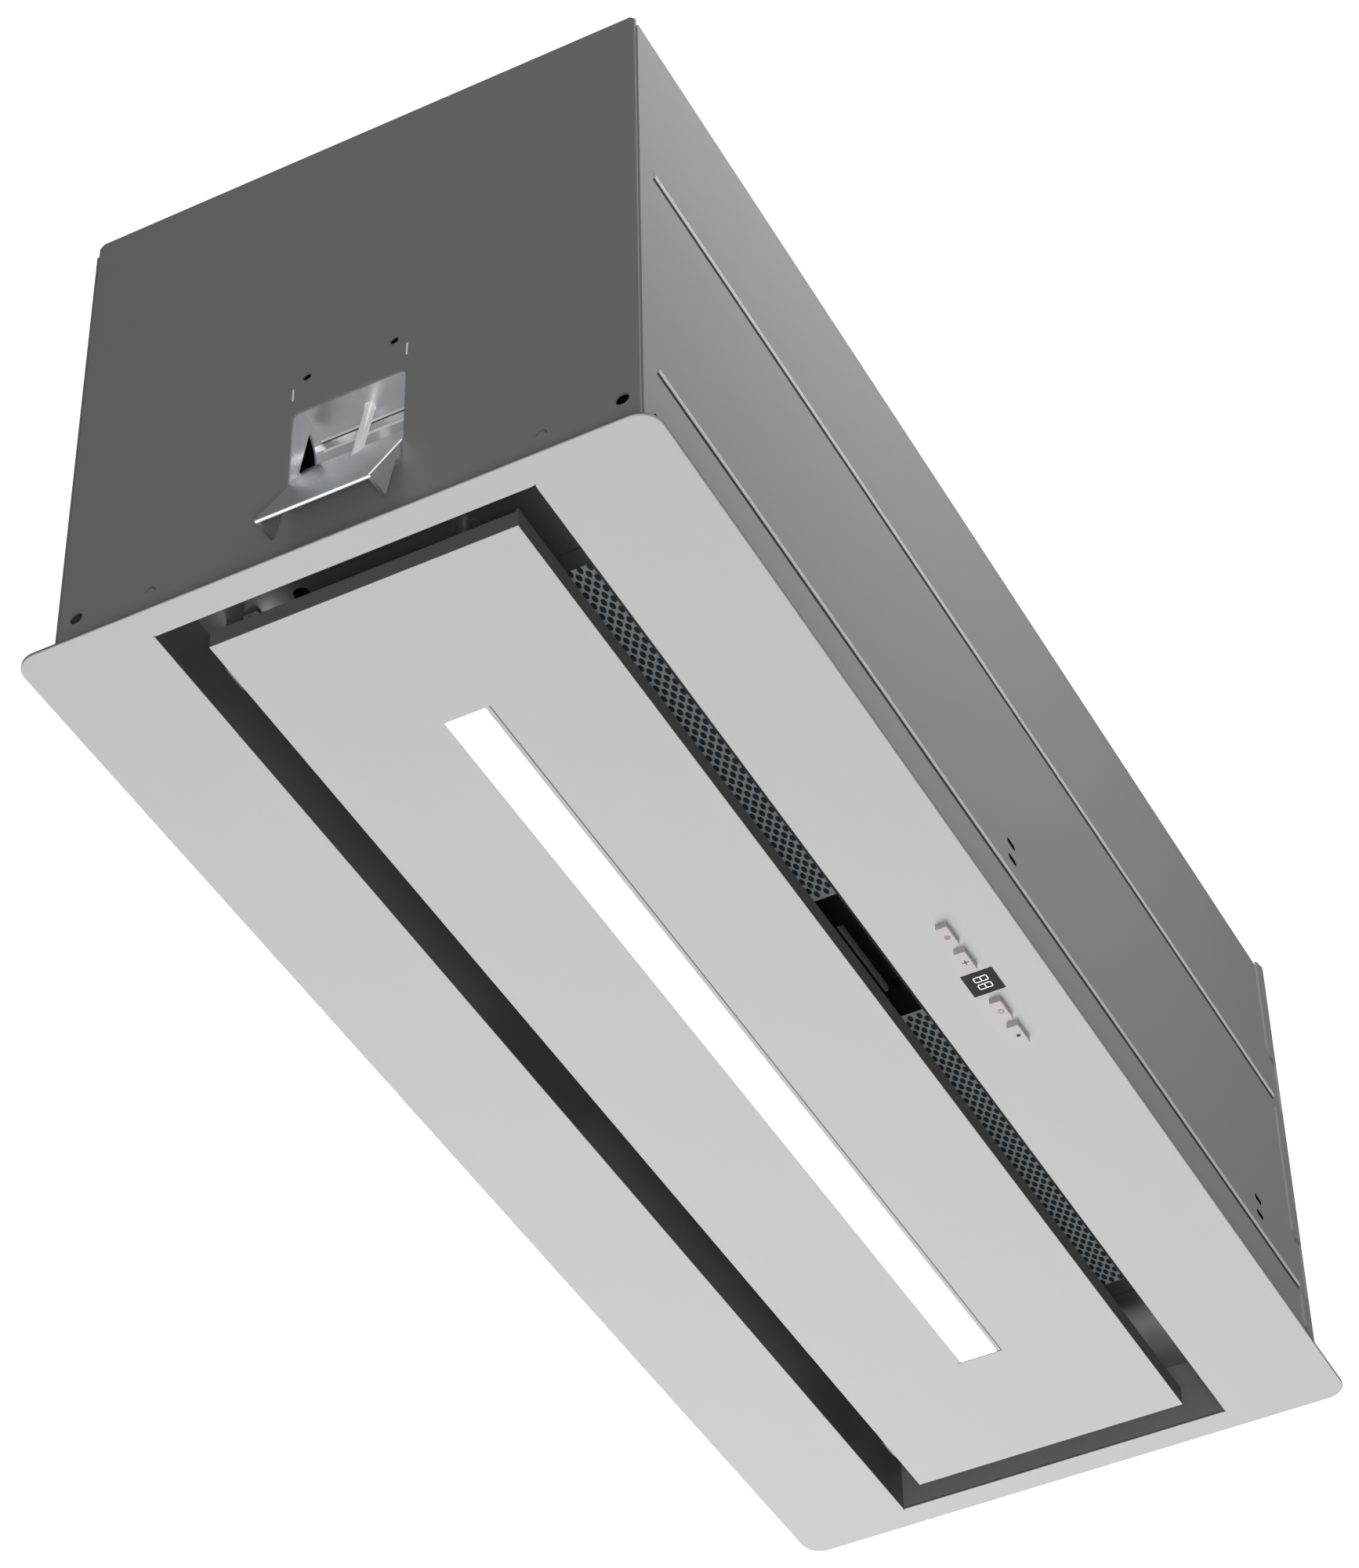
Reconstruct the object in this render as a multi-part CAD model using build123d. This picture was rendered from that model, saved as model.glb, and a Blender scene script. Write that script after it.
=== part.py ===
from build123d import *
from math import cos, degrees, radians, sin, sqrt, tan
import os

# Frame panel
FRAME_LENGTH = 700
FRAME_DEPTH = 280
FRAME_END_BORDER = 14
FRAME_LONG_BORDER = 56.5
FRAME_CORNER = 10
FRAME_SHEET = 1.2
FRAME_EDGE = 0.35
RELIEF_RADIUS = 0.4

# Recess channel
CEILING_Z = 34
CHANNEL_SHEET = 0.8
CHANNEL_FLANGE = 11
CHANNEL_TAB_DEPTH = 11
CHANNEL_TAB_BOTTOM = 10
CHANNEL_TAB_TOP = 31
SERVICE_HOLE_RADIUS = 3.5
SERVICE_HOLE_INSET = 35
SERVICE_HOLE_Y = 40

# Housing
HOUSING_INSET = 9
HOUSING_TOP = 251
END_UPSTAND = 6
END_SHEET = 1.0
LONG_SHEET = 0.8
END_CORNER_CHAMFER = 2.5
EDGE_FLANGE_WIDTH = 9
EDGE_FLANGE_SLANT = 3
EDGE_FLANGE_LOW = (24, 48)
EDGE_FLANGE_MIDDLE = (81, 162)
EDGE_FLANGE_HIGH = 193
EDGE_FLANGE_TOP_GAP = 1.2
END_BEND = 0.8
SHEET_SETBACK = 0.3
BEAD_HEIGHTS = (50.1, 165.6)
BEAD_RISE = 1.2
BEAD_UPPER_FOOT = 3.6
BEAD_UPPER_CREST = 0.4
BEAD_LOWER_CREST = 0.6
BEAD_LOWER_FOOT = 2.4
BEAD_END_INSET = 9.8
BEAD_END_SLOPE = 1
LONG_SHEET_FOOT = 6
LONG_SHEET_TOP_FLANGE = 14
SLOT_PLACES = (2, 282)
SLOT_HEIGHTS = (62, 71)
SLOT_LENGTH = 8
SLOT_WIDTH = 3
END_FOOT_WIDTH = 12
END_FOOT_LENGTH = 24
END_FOOT_INSET = 9
END_TAB_WIDTH = 12
END_TAB_LENGTH = 36
END_TAB_Y = 70

# Holes in the end plates
CARRIER_HOLE_RADIUS = 3
CARRIER_HOLE_INSET = 10
CARRIER_HOLE_Z = 27.4
BRACKET_HOLE_RADIUS = 2
BRACKET_HOLE_SPACING = 40
BRACKET_HOLE_Z = 115.4
CLIP_RADIUS = 2.6
CLIP_CUT = 0.9
CLIP_INSET = 44.4
CLIP_Z = 25.5
SLIT_WIDTH = 1.0
SLIT_BOTTOM = 103.6
SLIT_TOP = 111

# Clamp pocket; paired numbers are the distance outwards from the end wall and the height
WINDOW_WIDTH = 51.6
WINDOW_BOTTOM = 41
WINDOW_TOP = 96
WINDOW_CORNER = 3.5
POCKET_SHEET = 0.8
POCKET_DEPTH = 20.5
POCKET_SIDE_GAP = 0.2
POCKET_FLOOR_Z = 39.5
POCKET_LIP = 3
POCKET_TOP_LIP = 6
POCKET_BEAD_Z = 97.5
POCKET_BEAD_WIDTH = 5
POCKET_BEAD_RISE = 2
SCREW_TILT = 13.14
SCREW_CEILING = (-15.4, 102.8)
GUIDE_TOP = (-12, 98)
GUIDE_BOTTOM = (-6, 69)
GUIDE_BELLY = (-17.8, 88)
GUIDE_HEEL = (-13.5, 72)

# Clamp hook, nut and screw
HOOK_SHEET = 1.5
HOOK_SIDE_GAP = 0.6
HOOK_TOP = (-9, 73)
HOOK_EDGE = (23.3, 14)
EAR_TIP = (11, 14.3)
EAR_WAIST = (4.9, 39.4)
EAR_SILL = (2.7, 42.4)
EAR_HEEL = (-5, 46)
EAR_CREST = (-10, 71.5)
HOOK_TAB_DEPTH = 6
HOOK_TAB_REACH = 5.4
HOOK_TAB_DROP = 56.3
NUT_WIDTH = 7
NUT_HEIGHT = 3.2
CLAMP_SCREW_RADIUS = 2
CLAMP_SCREW_DROP = 62
CLAMP_HEAD_RADIUS = 3.6
CLAMP_HEAD_HEIGHT = 3.2
CLAMP_SOCKET_RADIUS = 1.7
CLAMP_SOCKET_DEPTH = 2

# Centre panel
PANEL_END_GAP = 15
PANEL_LONG_GAP = 15.5
PANEL_SHEET = 1.0
PANEL_WALL = 9.4
PANEL_END_WALL = 8.2

# Light strip
LIGHT_INSET = 80
LIGHT_WIDTH = 18
LENS_FLANGE = 2
LENS_FLANGE_HEIGHT = 1.4
LIGHT_CHANNEL_OVERHANG = 5
LIGHT_CHANNEL_GAP = 1
LIGHT_CHANNEL_TOP = 7
LIGHT_CHANNEL_FOOT = 8
LIGHT_CHANNEL_SHEET = 1.0
LIGHT_BOARD_INSET = 2
LIGHT_BOARD_WIDTH = 12
LIGHT_BOARD_THICKNESS = 1.2
DIODE_SIZE = 3
DIODE_HEIGHT = 0.8
DIODE_COUNT = 24

# Panel hinges
HINGE_INSET = 25
HINGE_OVERHANG = 2
HINGE_Z = 9
HINGE_PIN_RADIUS = 2
HINGE_KNUCKLE_RADIUS = 3.5
HINGE_KNUCKLE_LENGTH = 10
HINGE_CHEEK = 1.5
HINGE_LEAF_SHEET = 1.6
HINGE_LEAF_REACH = 14
HINGE_LEAF_FOOT = 12
HINGE_FOOT_DEPTH = 14
HINGE_HEAD_RADIUS = 3
HINGE_HEAD_LENGTH = 1

# Panel catches
CATCH_INSET = 18
CATCH_BOTTOM = 11
MAGNET_RADIUS = 6
MAGNET_HEIGHT = 4
CATCH_STEM_RADIUS = 3.5
CATCH_BASE_RADIUS = 7
CATCH_BASE_HEIGHT = 1.5
STRIKE_RADIUS = 5
STRIKE_FOOT_RADIUS = 7

# Grease filter; mesh levels stand above the recess ceiling
FILTER_END_MARGIN = 65
FILTER_LONG_MARGIN = 8.5
FILTER_HEIGHT = 9
FILTER_CORNER = 2
FILTER_GAP = 0.7
FILTER_SHEET = 1.0
FILTER_END_BORDER = 9
FILTER_LONG_BORDER = 8
MESH_SHEET = 0.6
MESH_WAVE = 1.0
MESH_WAVE_LENGTH = 13
MESH_LEVELS = (2.4, 4.5, 6.6)
GRIP_ZONE = 84
GRIP_SHEET = 1.4
GRIP_POCKET_LENGTH = 48
GRIP_POCKET_REACH = 8
GRIP_POCKET_HEIGHT = 5
GRIP_BAR_INSET = 8.5
GRIP_BAR_WIDTH = 1.5
GRIP_BAR_HEIGHT = 3
SPRING_CLIP_X = 120
SPRING_CLIP_WIDTH = 14
SPRING_CLIP_SHEET = 0.5
SPRING_CLIP_FOOT = 10
SPRING_CLIP_TIP_HEIGHT = 3
SPRING_CLIP_TIP_LEAN = 2

# Keys and display
CONTROL_X = 1.45
KEY_LINE_INSET = 27.9
KEY_PITCH = 17.8
WELL_LENGTH = 13.2
WELL_DEPTH = 5.3
KEY_FACE_Z = 2.0
KEY_CAP_HEIGHT = 2.5
KEY_FLANGE = 0.9
KEY_FLANGE_HEIGHT = 1.0
KEY_STEM_RADIUS = 1.2
KEY_STEM_TOP = 8.9
GUIDE_PLATE_TOP = 4.2
DISPLAY_LENGTH = 14
DISPLAY_DEPTH = 13.6
DISPLAY_CORNER = 2
DISPLAY_TOP = 1.7
DIGIT_BLOCK_LENGTH = 12.4
DIGIT_BLOCK_DEPTH = 11
KEY_HOUSING_END_MARGIN = 4.8
KEY_HOUSING_SIDE_MARGIN = 2.5
KEY_HOUSING_TOP = 14
KEY_HOUSING_WALL = 1.5
BOARD_END_GAP = 3
BOARD_SIDE_GAP = 2
BOARD_THICKNESS = 1.5
BOARD_Z = 10.5
SWITCH_SIZE = 6
SWITCH_BOTTOM = 7
SWITCH_BORE_RADIUS = 1.5

# Outlet collar and its flaps; rises stand above the top plate
COLLAR_RADIUS = 74.5
COLLAR_WALL = 1.6
COLLAR_RISE = 45
COLLAR_LEAD_IN = 0.8
COLLAR_FLANGE_WIDTH = 17.5
COLLAR_FLANGE_HEIGHT = 2.5
COLLAR_SCREW_OFFSET = 11.5
LEDGE_DEPTH = 2.5
LEDGE_HEIGHT = 1.2
LEDGE_RISE = 14.6
FLAP_GAP = 0.9
FLAP_THICKNESS = 1.2
FLAP_PIN_RISE = 17
FLAP_PIN_RADIUS = 1.5
FLAP_KNUCKLE_RADIUS = 2.8
FLAP_KNUCKLE_LENGTH = 30
FLAP_KNUCKLE_GAP = 1

# Impeller
IMPELLER_RADIUS = 62
IMPELLER_RIM = 0.6
IMPELLER_HALF_WIDTH = 48
IMPELLER_DISC = 1.6
BLADE_INNER_RADIUS = 50
BLADE_TIP_GAP = 0.3
BLADE_COUNT = 32
BLADE_SHEET = 0.9
BLADE_LEAN = 11.5
BLADE_BOW = 2.8
END_RING_DEPTH = 3
END_RING_SHEET = 1.5
END_RING_LIP = 1
HUB_RADIUS = 10
HUB_HALF_LENGTH = 8

# Scroll casing
BLOWER_Z = 128
SCROLL_START_GAP = 4
SCROLL_GROWTH = 20
SCROLL_START_ANGLE = 70
SCROLL_STEPS = 5
SCROLL_SHEET = 1.0
SCROLL_SIDE_GAP = 7
SCROLL_TAB_LENGTH = 16
SCROLL_TAB_WIDTH = 16
SCROLL_TAB_Y = 28
OUTLET_HALF_DEPTH = 45
SIDE_SHEET = 1.2
INLET_GAP = 2
BELL_THROAT_GAP = 1
BELL_DEPTH = 5
BELL_FLANGE_WIDTH = 5
BELL_SHEET = 1.0
BELL_ROUND = 1.6

# Motor
SHAFT_RADIUS = 4
SHAFT_START = -10
SHAFT_END = 74
MOTOR_RADIUS = 38
MOTOR_START = 12
MOTOR_END = 68
MOTOR_SHELL = 2
MOTOR_RIM = 4
VENT_COUNT = 8
VENT_LENGTH = 14
VENT_WIDTH = 4
VENT_PLACE = 22
BEARING_RADIUS = 9
BEARING_LENGTH = 7
STATOR_INNER_RADIUS = 21
STATOR_START = 26
STATOR_END = 54
ROTOR_GAP = 0.6
MOTOR_RING_WIDTH = 3
MOTOR_RING_LENGTH = 4
ARM_COUNT = 3
ARM_START_ANGLE = 30
ARM_WIDTH = 10
ARM_END_MARGIN = 8.5
GROMMET_MARGIN = 5
GROMMET_RADIUS = 4.5

# Electrics
POWER_BOX_INSET = 121
POWER_BOX_Y = -62
POWER_BOX_LENGTH = 130
POWER_BOX_DEPTH = 80
POWER_BOX_HEIGHT = 58.2
POWER_BOX_WALL = 2
POWER_BOX_CORNER = 4
POWER_LID_SHEET = 2
LID_SLOT_COUNT = 7
LID_SLOT_PITCH = 12
LID_SLOT_LENGTH = 40
LID_SLOT_WIDTH = 4
POWER_BOARD_MARGIN = 5
STANDOFF_HEIGHT = 6
STANDOFF_RADIUS = 3
STANDOFF_INSET = 6
TRANSFORMER_SIZE = (30, 30, 24)
TRANSFORMER_PLACE = (-35, 0)
RELAY_SIZE = (16, 20, 16)
RELAY_PLACES = ((0, -18), (22, -18))
TERMINAL_SIZE = (14, 50, 12)
TERMINAL_PLACE = (43, 0)
CAPACITOR_Y = 40
CAPACITOR_RADIUS = 16
CAPACITOR_LENGTH = 60
CAPACITOR_EDGE = 1
CAPACITOR_STUB_RADIUS = 4
CAPACITOR_STUB_LENGTH = 8
CAPACITOR_TOP_GAP = 1.2
STRAP_SHEET = 1.0
STRAP_WIDTH = 12
STRAP_FOOT = 10
GLAND_INSET = 56
GLAND_SIDE_INSET = 40
GLAND_RADIUS = 8
GLAND_BORE_RADIUS = 4
GLAND_FLANGE_RADIUS = 12
GLAND_FLANGE_HEIGHT = 4
GLAND_NUT_HEIGHT = 5
GLAND_TAIL = 12

# Seal strips
SEAL_WIDTH = 6
SEAL_HEIGHT = 2
SEAL_EDGE_GAP = 1.5
SEAL_END_GAP = 6

# Screws
SCREW_RADIUS = 1.7
SCREW_HEAD_RADIUS = 3.3
SCREW_HEAD_HEIGHT = 2
SCREW_HEAD_ROUND = 1.2
SCREW_LENGTH = 12
TOP_SCREW_COUNT = 5
TOP_SCREW_INSET = 36
COLLAR_SCREW_COUNT = 4

# Clearances and how far a cut runs past its face
RUNNING_GAP = 0.05
HOLE_GAP = 0.3
BODY_GAP = 0.3
CUT_PAST = 1

# Places that follow from the sizes
OPENING_LENGTH = FRAME_LENGTH - 2 * FRAME_END_BORDER
OPENING_DEPTH = FRAME_DEPTH - 2 * FRAME_LONG_BORDER
END_INNER_X = OPENING_LENGTH / 2
END_OUTER_X = END_INNER_X + END_SHEET
END_TOP = HOUSING_TOP + END_UPSTAND
SIDE_Y = FRAME_DEPTH / 2 - HOUSING_INSET
SHEET_Y = SIDE_Y - END_SHEET
RECESS_Y = OPENING_DEPTH / 2
SHEET_TOP = HOUSING_TOP - LONG_SHEET
INSIDE_Y = SHEET_Y - LONG_SHEET
INSIDE_TOP = SHEET_TOP - LONG_SHEET
INSIDE_SPANS = (EDGE_FLANGE_LOW, EDGE_FLANGE_MIDDLE, (EDGE_FLANGE_HIGH, INSIDE_TOP - EDGE_FLANGE_TOP_GAP))
OUTSIDE_SPANS = (EDGE_FLANGE_LOW, EDGE_FLANGE_MIDDLE, (EDGE_FLANGE_HIGH, END_TOP - EDGE_FLANGE_TOP_GAP))
POCKET_HALF_WIDTH = WINDOW_WIDTH / 2 - POCKET_SIDE_GAP
HOOK_WIDTH = WINDOW_WIDTH - 2 * HOOK_SIDE_GAP
PANEL_LENGTH = OPENING_LENGTH - 2 * PANEL_END_GAP
PANEL_DEPTH = OPENING_DEPTH - 2 * PANEL_LONG_GAP
LIGHT_LENGTH = PANEL_LENGTH - 2 * LIGHT_INSET
LENS_HALF = LIGHT_WIDTH / 2 + LENS_FLANGE
LIGHT_BOARD_LENGTH = LIGHT_LENGTH - 2 * LIGHT_BOARD_INSET
HINGE_X = PANEL_LENGTH / 2 - HINGE_INSET
HINGE_Y = PANEL_DEPTH / 2 + HINGE_OVERHANG
HINGE_OUTER = HINGE_KNUCKLE_LENGTH / 2 + BODY_GAP + HINGE_CHEEK
CATCH_X = PANEL_LENGTH / 2 - CATCH_INSET
CATCH_Y = -PANEL_DEPTH / 4
FILTER_LENGTH = OPENING_LENGTH - 2 * FILTER_END_MARGIN
FILTER_DEPTH = OPENING_DEPTH - 2 * FILTER_LONG_MARGIN
FILTER_TOP = CEILING_Z + FILTER_HEIGHT
FILTER_WINDOW_LENGTH = FILTER_LENGTH - 2 * FILTER_END_BORDER
FILTER_WINDOW_DEPTH = FILTER_DEPTH - 2 * FILTER_LONG_BORDER
GRIP_Y = GRIP_BAR_INSET - FILTER_WINDOW_DEPTH / 2
CONTROL_Y = KEY_LINE_INSET - FRAME_DEPTH / 2
KEY_PLACES = [CONTROL_X + step * KEY_PITCH for step in (-2, -1, 1, 2)]
KEY_NAMES = ("key_light", "key_plus", "key_timer", "key_power")
KEY_HOUSING_LENGTH = KEY_PLACES[-1] - KEY_PLACES[0] + WELL_LENGTH + 2 * KEY_HOUSING_END_MARGIN
KEY_HOUSING_DEPTH = DISPLAY_DEPTH + 2 * KEY_HOUSING_SIDE_MARGIN
BOARD_LENGTH = KEY_HOUSING_LENGTH - 2 * BOARD_END_GAP
BOARD_DEPTH = KEY_HOUSING_DEPTH - 2 * BOARD_SIDE_GAP
COLLAR_BORE = COLLAR_RADIUS - COLLAR_WALL
COLLAR_TOP = HOUSING_TOP + COLLAR_RISE
LEDGE_TOP = HOUSING_TOP + LEDGE_RISE
FLAP_RADIUS = COLLAR_BORE - FLAP_GAP
FLAP_PIN_Z = HOUSING_TOP + FLAP_PIN_RISE
SCROLL_START_RADIUS = IMPELLER_RADIUS + SCROLL_START_GAP
SCROLL_END_RADIUS = SCROLL_START_RADIUS + SCROLL_GROWTH
SCROLL_HALF_WIDTH = IMPELLER_HALF_WIDTH + SCROLL_SIDE_GAP
SIDE_OUTER_X = SCROLL_HALF_WIDTH + SIDE_SHEET
BLOWER_Y = SCROLL_END_RADIUS - OUTLET_HALF_DEPTH
INLET_RADIUS = BLADE_INNER_RADIUS + INLET_GAP
BELL_THROAT_RADIUS = BLADE_INNER_RADIUS - BELL_THROAT_GAP
BLADE_HALF_LENGTH = IMPELLER_HALF_WIDTH - END_RING_DEPTH
GROMMET_PLACE = INLET_RADIUS + BELL_FLANGE_WIDTH + GROMMET_MARGIN
ARM_OUTER_X = MOTOR_END - MOTOR_RIM
POWER_BOX_X = END_INNER_X - POWER_BOX_INSET
POWER_BOX_BOTTOM = SHEET_TOP - POWER_BOX_HEIGHT
CAPACITOR_Z = SHEET_TOP - CAPACITOR_RADIUS - CAPACITOR_TOP_GAP
GLAND_X = END_INNER_X - GLAND_INSET
GLAND_Y = SHEET_Y - GLAND_SIDE_INSET
TOP_SCREW_Y = LONG_SHEET_TOP_FLANGE / 2 - SHEET_Y


def block(x0, x1, y0, y1, z0, z1):
    """Straight-sided piece between two corners."""
    middle = Pos((x0 + x1) / 2, (y0 + y1) / 2, (z0 + z1) / 2)
    return middle * Box(abs(x1 - x0), abs(y1 - y0), abs(z1 - z0))


def along_x(outline, x0, x1):
    """Outline drawn in Y and Z, drawn out from one X place to another."""
    plane = Plane(origin=(x0, 0, 0), x_dir=(0, 1, 0), z_dir=(1, 0, 0))
    return extrude(plane * outline, x1 - x0, dir=(1, 0, 0))


def along_y(outline, y0, y1):
    """Outline drawn in X and Z, drawn out from one Y place to another."""
    plane = Plane(origin=(0, y0, 0), x_dir=(1, 0, 0), z_dir=(0, -1, 0))
    return extrude(plane * outline, y1 - y0, dir=(0, 1, 0))


def along_z(outline, z0, z1):
    """Outline drawn in X and Y, drawn out from one Z place to another."""
    return extrude(Plane.XY.offset(z0) * outline, z1 - z0, dir=(0, 0, 1))


def polygon(points):
    """Closed outline through the points."""
    return make_face(Polyline(*points, close=True))


def folded(points, sheet):
    """Cross-section of a folded sheet: the drawn side follows the points, the metal lies to their left."""
    normals = []
    for (a, b), (c, d) in zip(points, points[1:]):
        length = sqrt((c - a) ** 2 + (d - b) ** 2)
        normals.append(((b - d) / length, (c - a) / length))
    back = []
    for index, (a, b) in enumerate(points):
        before = normals[max(index - 1, 0)]
        after = normals[min(index, len(normals) - 1)]
        share = 1 + before[0] * after[0] + before[1] * after[1]
        shift_a = (before[0] + after[0]) * sheet / share
        shift_b = (before[1] + after[1]) * sheet / share
        back.append((a + shift_a, b + shift_b))
    return polygon(points + back[::-1])


def rod_x(radius, x0, x1, y, z):
    """Round bar along X."""
    return Pos((x0 + x1) / 2, y, z) * Rot(0, 90, 0) * Cylinder(radius, x1 - x0)


def rod_y(radius, y0, y1, x, z):
    """Round bar along Y."""
    return Pos(x, (y0 + y1) / 2, z) * Rot(90, 0, 0) * Cylinder(radius, y1 - y0)


def rod_z(radius, z0, z1, x, y):
    """Round bar along Z."""
    return Pos(x, y, (z0 + z1) / 2) * Cylinder(radius, z1 - z0)


def turned_z(points):
    """Piece turned about the Z axis from an outline of radius and height."""
    return revolve(Plane.XZ * polygon(points), Axis.Z)


def turned_blower(points):
    """Piece turned about the blower's axis from an outline of X place and radius."""
    return Pos(0, BLOWER_Y, BLOWER_Z) * revolve(Plane.XY * polygon(points), Axis.X)


def both_ends(piece):
    """Piece at the near end with its mirror image at the far end."""
    return [piece, mirror(piece, Plane.YZ)]


def group(pieces):
    """Loose solids that share one name."""
    return Compound(children=list(pieces))


def pan_screw():
    """Pan-head screw whose head stands on the origin and whose shank points down."""
    head = rod_z(SCREW_HEAD_RADIUS, 0, SCREW_HEAD_HEIGHT, 0, 0)
    head = fillet(head.edges().group_by(Axis.Z)[-1], SCREW_HEAD_ROUND)
    return head + rod_z(SCREW_RADIUS, -SCREW_LENGTH, 0, 0, 0)


# Frame panel and recess


def frame_panel():
    """Flat frame sheet with its opening, key wells and display cut-out."""
    face = RectangleRounded(FRAME_LENGTH, FRAME_DEPTH, FRAME_CORNER)
    face -= Rectangle(OPENING_LENGTH, OPENING_DEPTH)
    for corner in GridLocations(OPENING_LENGTH, OPENING_DEPTH, 2, 2):
        face -= corner * Circle(RELIEF_RADIUS)
    for x in KEY_PLACES:
        face -= Pos(x, CONTROL_Y) * Rectangle(WELL_LENGTH, WELL_DEPTH)
    face -= Pos(CONTROL_X, CONTROL_Y) * display_outline(HOLE_GAP / 2)
    panel = along_z(face, 0, FRAME_SHEET)
    rim = panel.faces().sort_by(Axis.Z)[0].outer_wire().edges()
    return chamfer(rim, FRAME_EDGE)


def display_outline(margin):
    """Rounded outline of the display, widened by a margin."""
    return RectangleRounded(
        DISPLAY_LENGTH + 2 * margin, DISPLAY_DEPTH + 2 * margin, DISPLAY_CORNER
    )


def recess_channel():
    """Folded channel that forms the recess walls and its ceiling."""
    foot = RECESS_Y + CHANNEL_FLANGE
    path = [(-foot, FRAME_SHEET), (-RECESS_Y, FRAME_SHEET), (-RECESS_Y, CEILING_Z)]
    path += [(RECESS_Y, CEILING_Z), (RECESS_Y, FRAME_SHEET), (foot, FRAME_SHEET)]
    channel = along_x(folded(path, CHANNEL_SHEET), -END_INNER_X, END_INNER_X)
    aperture = Rectangle(FILTER_LENGTH + 2 * FILTER_GAP, FILTER_DEPTH + 2 * FILTER_GAP)
    channel -= along_z(aperture, CEILING_Z, CEILING_Z + CHANNEL_SHEET)
    wall_y = RECESS_Y + CHANNEL_SHEET
    for end in (-1, 1):
        for side in (-1, 1):
            channel += block(
                end * (END_INNER_X - CHANNEL_SHEET), end * END_INNER_X,
                side * wall_y, side * (wall_y + CHANNEL_TAB_DEPTH),
                CHANNEL_TAB_BOTTOM, CHANNEL_TAB_TOP,
            )
        service_x = end * (END_INNER_X - SERVICE_HOLE_INSET)
        low = CEILING_Z - CUT_PAST
        high = CEILING_Z + CHANNEL_SHEET + CUT_PAST
        channel -= rod_z(SERVICE_HOLE_RADIUS, low, high, service_x, SERVICE_HOLE_Y)
    return channel


def seal_strips():
    """Foam strips on the upper face of the frame, front and rear."""
    outer = FRAME_DEPTH / 2 - SEAL_EDGE_GAP
    reach = FRAME_LENGTH / 2 - SEAL_END_GAP
    strips = []
    for side in (-1, 1):
        strips.append(block(
            -reach, reach, side * (outer - SEAL_WIDTH), side * outer,
            FRAME_SHEET, FRAME_SHEET + SEAL_HEIGHT,
        ))
    return group(strips)


# Housing


def end_plate(side_y, flange_spans):
    """End plate at the near end, with its edge flanges' outer faces at the given Y on both sides."""
    cut = END_CORNER_CHAMFER
    outline = polygon([
        (-side_y, FRAME_SHEET), (side_y, FRAME_SHEET), (side_y, END_TOP - cut),
        (side_y - cut, END_TOP), (cut - side_y, END_TOP), (-side_y, END_TOP - cut),
    ])
    window_height = WINDOW_TOP - WINDOW_BOTTOM
    window_z = (WINDOW_TOP + WINDOW_BOTTOM) / 2
    outline -= Pos(0, window_z) * RectangleRounded(WINDOW_WIDTH, window_height, WINDOW_CORNER)
    slit_height = SLIT_TOP - SLIT_BOTTOM
    slit_y = POCKET_HALF_WIDTH + POCKET_SHEET / 2
    for side in (-1, 1):
        outline -= Pos(side * (SIDE_Y - CARRIER_HOLE_INSET), CARRIER_HOLE_Z) * Circle(CARRIER_HOLE_RADIUS)
        outline -= Pos(side * BRACKET_HOLE_SPACING / 2, BRACKET_HOLE_Z) * Circle(BRACKET_HOLE_RADIUS)
        outline -= Pos(side * slit_y, SLIT_BOTTOM + slit_height / 2) * Rectangle(SLIT_WIDTH, slit_height)
        outline -= Pos(side * (SIDE_Y - CLIP_INSET), CLIP_Z) * clip_cut()
    plate = along_x(outline, -END_OUTER_X, -END_INNER_X)
    uprights = plate.edges().filter_by(Axis.Z).group_by(Axis.X)[0].sort_by(Axis.Y)
    plate = fillet([uprights[0], uprights[-1]], END_BEND)
    for side in (-1, 1):
        foot_end = side * (SIDE_Y - END_FOOT_INSET)
        plate += block(
            -END_INNER_X, END_FOOT_WIDTH - END_INNER_X, foot_end - side * END_FOOT_LENGTH, foot_end,
            FRAME_SHEET, FRAME_SHEET + END_SHEET,
        )
        tab_start = side * END_TAB_Y
        plate += block(
            -END_INNER_X, END_TAB_WIDTH - END_INNER_X, tab_start, tab_start - side * END_TAB_LENGTH,
            SHEET_TOP - END_SHEET, SHEET_TOP,
        )
        for low, high in flange_spans:
            plate += edge_flange(low, high, side, side_y)
    return plate


def clip_cut():
    """Half-round cut that frees a small clip."""
    ring = Circle(CLIP_RADIUS) - Circle(CLIP_RADIUS - CLIP_CUT)
    return ring - Pos(0, -CLIP_RADIUS) * Rectangle(2 * CLIP_RADIUS, 2 * CLIP_RADIUS)


def edge_flange(low, high, side, side_y):
    """Flange folded round along the front or rear sheet, with slanted free corners."""
    free = EDGE_FLANGE_WIDTH - END_INNER_X
    outline = polygon([
        (-END_INNER_X, low), (free - EDGE_FLANGE_SLANT, low), (free, low + EDGE_FLANGE_SLANT),
        (free, high - EDGE_FLANGE_SLANT), (-END_INNER_X, high),
    ])
    inner = side * (side_y - END_SHEET)
    outer = side * side_y
    return along_y(outline, min(inner, outer), max(inner, outer))


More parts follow.
